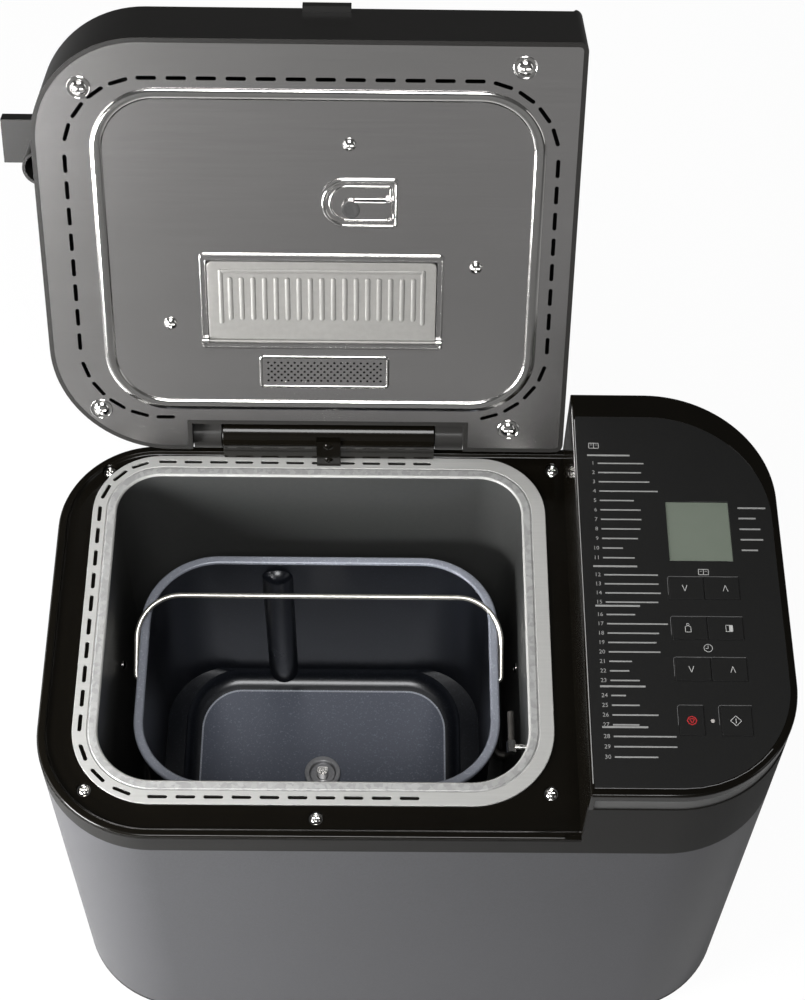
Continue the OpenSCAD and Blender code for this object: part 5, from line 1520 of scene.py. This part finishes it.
    def _flap(self) -> None:
        """Builds the flap: a sheet, a raised line round three sides, and a row of rounded ribs."""
        low = self.plate - 1.0
        box = self.flap_box
        sheet = Bench.slab("flap_sheet", box, low, self.plate, (), [(0.3, 0.15)], 6)
        bars = [
            (box.x0 + 7.5, box.y0 + 4.5, box.x1 - 7.5, box.y0 + 7.1),
            (box.x0 + 6, box.y0 + 4.5, box.x0 + 8.6, box.y1 - 12),
            (box.x1 - 8.6, box.y0 + 4.5, box.x1 - 6, box.y1 - 12),
        ]
        ribs_y = (box.y0 + 9.5, box.y1 - 14.5)
        first, last = box.x0 + 12.5, box.x1 - 12.5
        pitch = (last - first) / (self.ribs - 1)
        middles = [first + i * pitch for i in range(self.ribs)]
        bars += [(x - self.rib_half, ribs_y[0], x + self.rib_half, ribs_y[1]) for x in middles]
        steps = [*fillet(0.5, 0.45, 3), (0.5, 0.15)]
        raised = []
        for corners in bars:
            outline = Outline(*corners, (self.rib_round,) * 4)
            raised.append(Bench.slab("bar", outline, low - 0.15, low + 0.1, (), steps, 4))
        pin = Bench.post("pin", 0, 0, 0.8, -66, 66, 16)
        Bench.place(pin, at(*self.hinge_pin) @ Matrix.Rotation(math.pi / 2, 4, "Y"))
        piece = Bench.joined([sheet, *raised, pin], "dispenser_flap_pressed")
        self._open(piece)
        Bench.done(piece, 40)
        dress(piece, "flap", FLAP_ALUMINIUM, ("dispenser_flap",))

    def _valve(self) -> None:
        """Builds two raised borders round the yeast recess, and the valve with its arm and rubber disc."""
        self._ridge("yeast_border", self.yeast, 1.2, 0.9, POLISHED)
        self._ridge("yeast_inner_border", self.yeast_inner, 0.8, 0.6, POLISHED)
        eased("yeast_valve", 0.3, 2)
        x, y = self.disc
        disc = Bench.post("valve_disc", x, y, 5.0, self.plate - 2.5, self.plate - 1.2, 32)
        Bench.edit(disc)
        Bench.pick_faces(lambda c, n: n.z < -LOOKS_ALONG)
        Bench.walk([(0.4, 0.2), (1.4, 0), (0.5, -0.2)], -1)
        self._open(disc)
        Bench.done(disc, 30)
        dress(disc, "valve", VALVE_RUBBER)

    def _screws(self) -> None:
        """Builds the plate's screws, larger at its corners."""
        turned = Matrix.Rotation(math.pi, 4, "X")
        corner = [LID_OPEN @ at(x, y, self.plate) @ turned for x, y in self.corner_screws]
        inner = [LID_OPEN @ at(x, y, self.plate) @ turned for x, y in self.inner_screws]
        first = CrossHeadScrew(4.4, 1.9, 6.4).build()
        second = CrossHeadScrew(3.6, 1.9).build()
        heads = [Bench.copy(first, "head", move) for move in corner]
        heads += [Bench.copy(second, "head", move) for move in inner]
        bpy.data.objects.remove(first)
        bpy.data.objects.remove(second)
        dress(Bench.joined(heads, "plate_screw_heads"), "lid", POLISHED, ("plate_screws",))


@dataclass
class Hinge:
    """The hinge's housing, bracket and pin: each node, its edges' width and facets, and its finish."""

    pieces: tuple[tuple[str, float, int, Finish | None], ...] = (
        ("hinge_housing", 0.8, 3, None), ("hinge_bracket", 0.25, 2, GLOSS_BLACK), ("hinge_pin", 0.3, 2, None))

    def build(self) -> None:
        """Builds every piece of the hinge."""
        for node, width, segments, finish in self.pieces:
            eased(node, width, segments, finish)


@dataclass
class Inside:
    """What the body holds: the drive, the boards and the inlet."""

    nodes: tuple[str, ...] = (
        "drive_coupling", "drive_shaft", "drive_bearing", "large_pulley", "drive_belt", "motor_pulley",
        "motor_shaft", "motor", "chassis_plate", "power_board", "power_inlet")
    edge: float = 0.3

    def build(self) -> None:
        """Builds every piece inside the body."""
        for node in self.nodes:
            eased(node, self.edge)


@dataclass(frozen=True)
class Lamp:
    """A soft rectangular lamp that looks at the object."""

    name: str
    place: tuple[float, float, float]
    size: tuple[float, float]
    power: float
    aim: tuple[float, float, float] = (0.0, 0.0, 0.25)

    def build(self) -> None:
        """Adds the lamp to the scene."""
        Bench.clear()
        bpy.ops.object.light_add(type="AREA", location=self.place)
        lamp = bpy.context.object
        lamp.name = self.name
        lamp.data.shape = "RECTANGLE"
        lamp.data.size, lamp.data.size_y = self.size
        lamp.data.energy = self.power
        lamp.rotation_euler = (Vector(self.aim) - Vector(self.place)).to_track_quat("-Z", "Y").to_euler()


@dataclass
class Studio:
    """The camera, the lamps, the pale floor and the world."""

    sensor: float = 36.0
    focal_share: float = 2.0946
    place: tuple[float, float, float] = (-0.0177, -0.5755, 1.3070)
    pitch: float = 57.32
    yaw: float = 1.20
    roll: float = 1.52
    floor_size: float = 14
    floor_level: float = -0.0005
    floor_grey: float = 0.42
    floor_glow: float = 1.06
    floor_share: float = 0.9
    air: tuple[float, float] = (0.07, 1.0)
    lamps: tuple[Lamp, ...] = (
        Lamp("front_lamp", (-0.2, -3.4, 0.9), (4.6, 2.2), 4.5, (-0.1, 0.1, 0.35)),
        Lamp("camera_lamp", (-0.1, -1.15, 2.5), (1.0, 0.8), 40.0, (-0.05, 0.0, 0.2)),
        Lamp("left_lamp", (-1.5, -0.35, 0.75), (0.7, 1.3), 9.0),
        Lamp("low_left_lamp", (-0.62, -0.42, 0.42), (0.3, 0.4), 14.0, (-0.24, -0.16, 0.1)),
        Lamp("right_lamp", (1.7, -0.6, 0.9), (0.5, 1.2), 2.5),
        Lamp("high_lamp", (-0.3, -0.5, 2.7), (2.2, 0.5), 5.0),
    )

    def build(self) -> None:
        """Builds the studio."""
        self._camera()
        self._floor()
        self._world()
        for lamp in self.lamps:
            lamp.build()
        bpy.context.scene.view_settings.view_transform = "Standard"

    def _camera(self) -> None:
        """Adds the camera at the object's usual viewing angle."""
        Bench.clear()
        bpy.ops.object.camera_add(location=self.place)
        camera = bpy.context.object
        pitch, yaw, roll_ = (math.radians(a) for a in (self.pitch, self.yaw, self.roll))
        ahead = Vector((math.sin(yaw) * math.cos(pitch), math.cos(yaw) * math.cos(pitch), -math.sin(pitch)))
        right = Vector((math.cos(yaw), -math.sin(yaw), 0))
        above = right.cross(ahead)
        side = math.cos(roll_) * right + math.sin(roll_) * above
        top = math.cos(roll_) * above - math.sin(roll_) * right
        turn = Matrix((side, top, -ahead)).transposed().to_4x4()
        camera.matrix_world = Matrix.Translation(self.place) @ turn
        camera.data.sensor_width = self.sensor
        camera.data.lens = self.focal_share * self.sensor
        bpy.context.scene.camera = camera

    def _floor(self) -> None:
        """Adds the floor, which shows white and keeps the object's shadow."""
        Bench.clear()
        bpy.ops.mesh.primitive_plane_add(size=self.floor_size, location=(0, 0, self.floor_level))
        floor = bpy.context.object
        floor.name = "floor"
        made = bpy.data.materials.new("pale_floor")
        made.use_nodes = True
        nodes, links = made.node_tree.nodes, made.node_tree.links
        nodes.remove(nodes["Principled BSDF"])
        matt = nodes.new("ShaderNodeBsdfDiffuse")
        matt.inputs["Color"].default_value = (*(self.floor_grey,) * 3, 1)
        white = nodes.new("ShaderNodeEmission")
        white.inputs["Strength"].default_value = self.floor_glow
        seen = nodes.new("ShaderNodeMixShader")
        rays = nodes.new("ShaderNodeLightPath")
        share = nodes.new("ShaderNodeMath")
        share.operation = "MULTIPLY"
        share.inputs[1].default_value = self.floor_share
        links.new(rays.outputs["Is Camera Ray"], share.inputs[0])
        links.new(share.outputs[0], seen.inputs[0])
        links.new(matt.outputs[0], seen.inputs[1])
        links.new(white.outputs[0], seen.inputs[2])
        links.new(seen.outputs[0], nodes["Material Output"].inputs["Surface"])
        floor.data.materials.append(made)

    def _world(self) -> None:
        """Sets a world that is white where the camera sees it and dim elsewhere."""
        world = bpy.data.worlds.new("studio_air")
        bpy.context.scene.world = world
        world.use_nodes = True
        nodes, links = world.node_tree.nodes, world.node_tree.links
        air = nodes["Background"]
        air.inputs["Color"].default_value = (1, 1, 1, 1)
        rays = nodes.new("ShaderNodeLightPath")
        level = nodes.new("ShaderNodeMapRange")
        level.inputs["To Min"].default_value, level.inputs["To Max"].default_value = self.air
        links.new(rays.outputs["Is Camera Ray"], level.inputs["Value"])
        links.new(level.outputs["Result"], air.inputs["Strength"])


def main() -> None:
    """Builds the object, sub-assembly by sub-assembly, and then the studio."""
    logging.basicConfig(level=logging.INFO, format="%(name)s: %(message)s")
    for part in (Housing(), Oven(), BreadPan(), Console(), Lid(), Hinge(), Inside()):
        part.build()
    Studio().build()


if __name__ == "__main__":
    main()
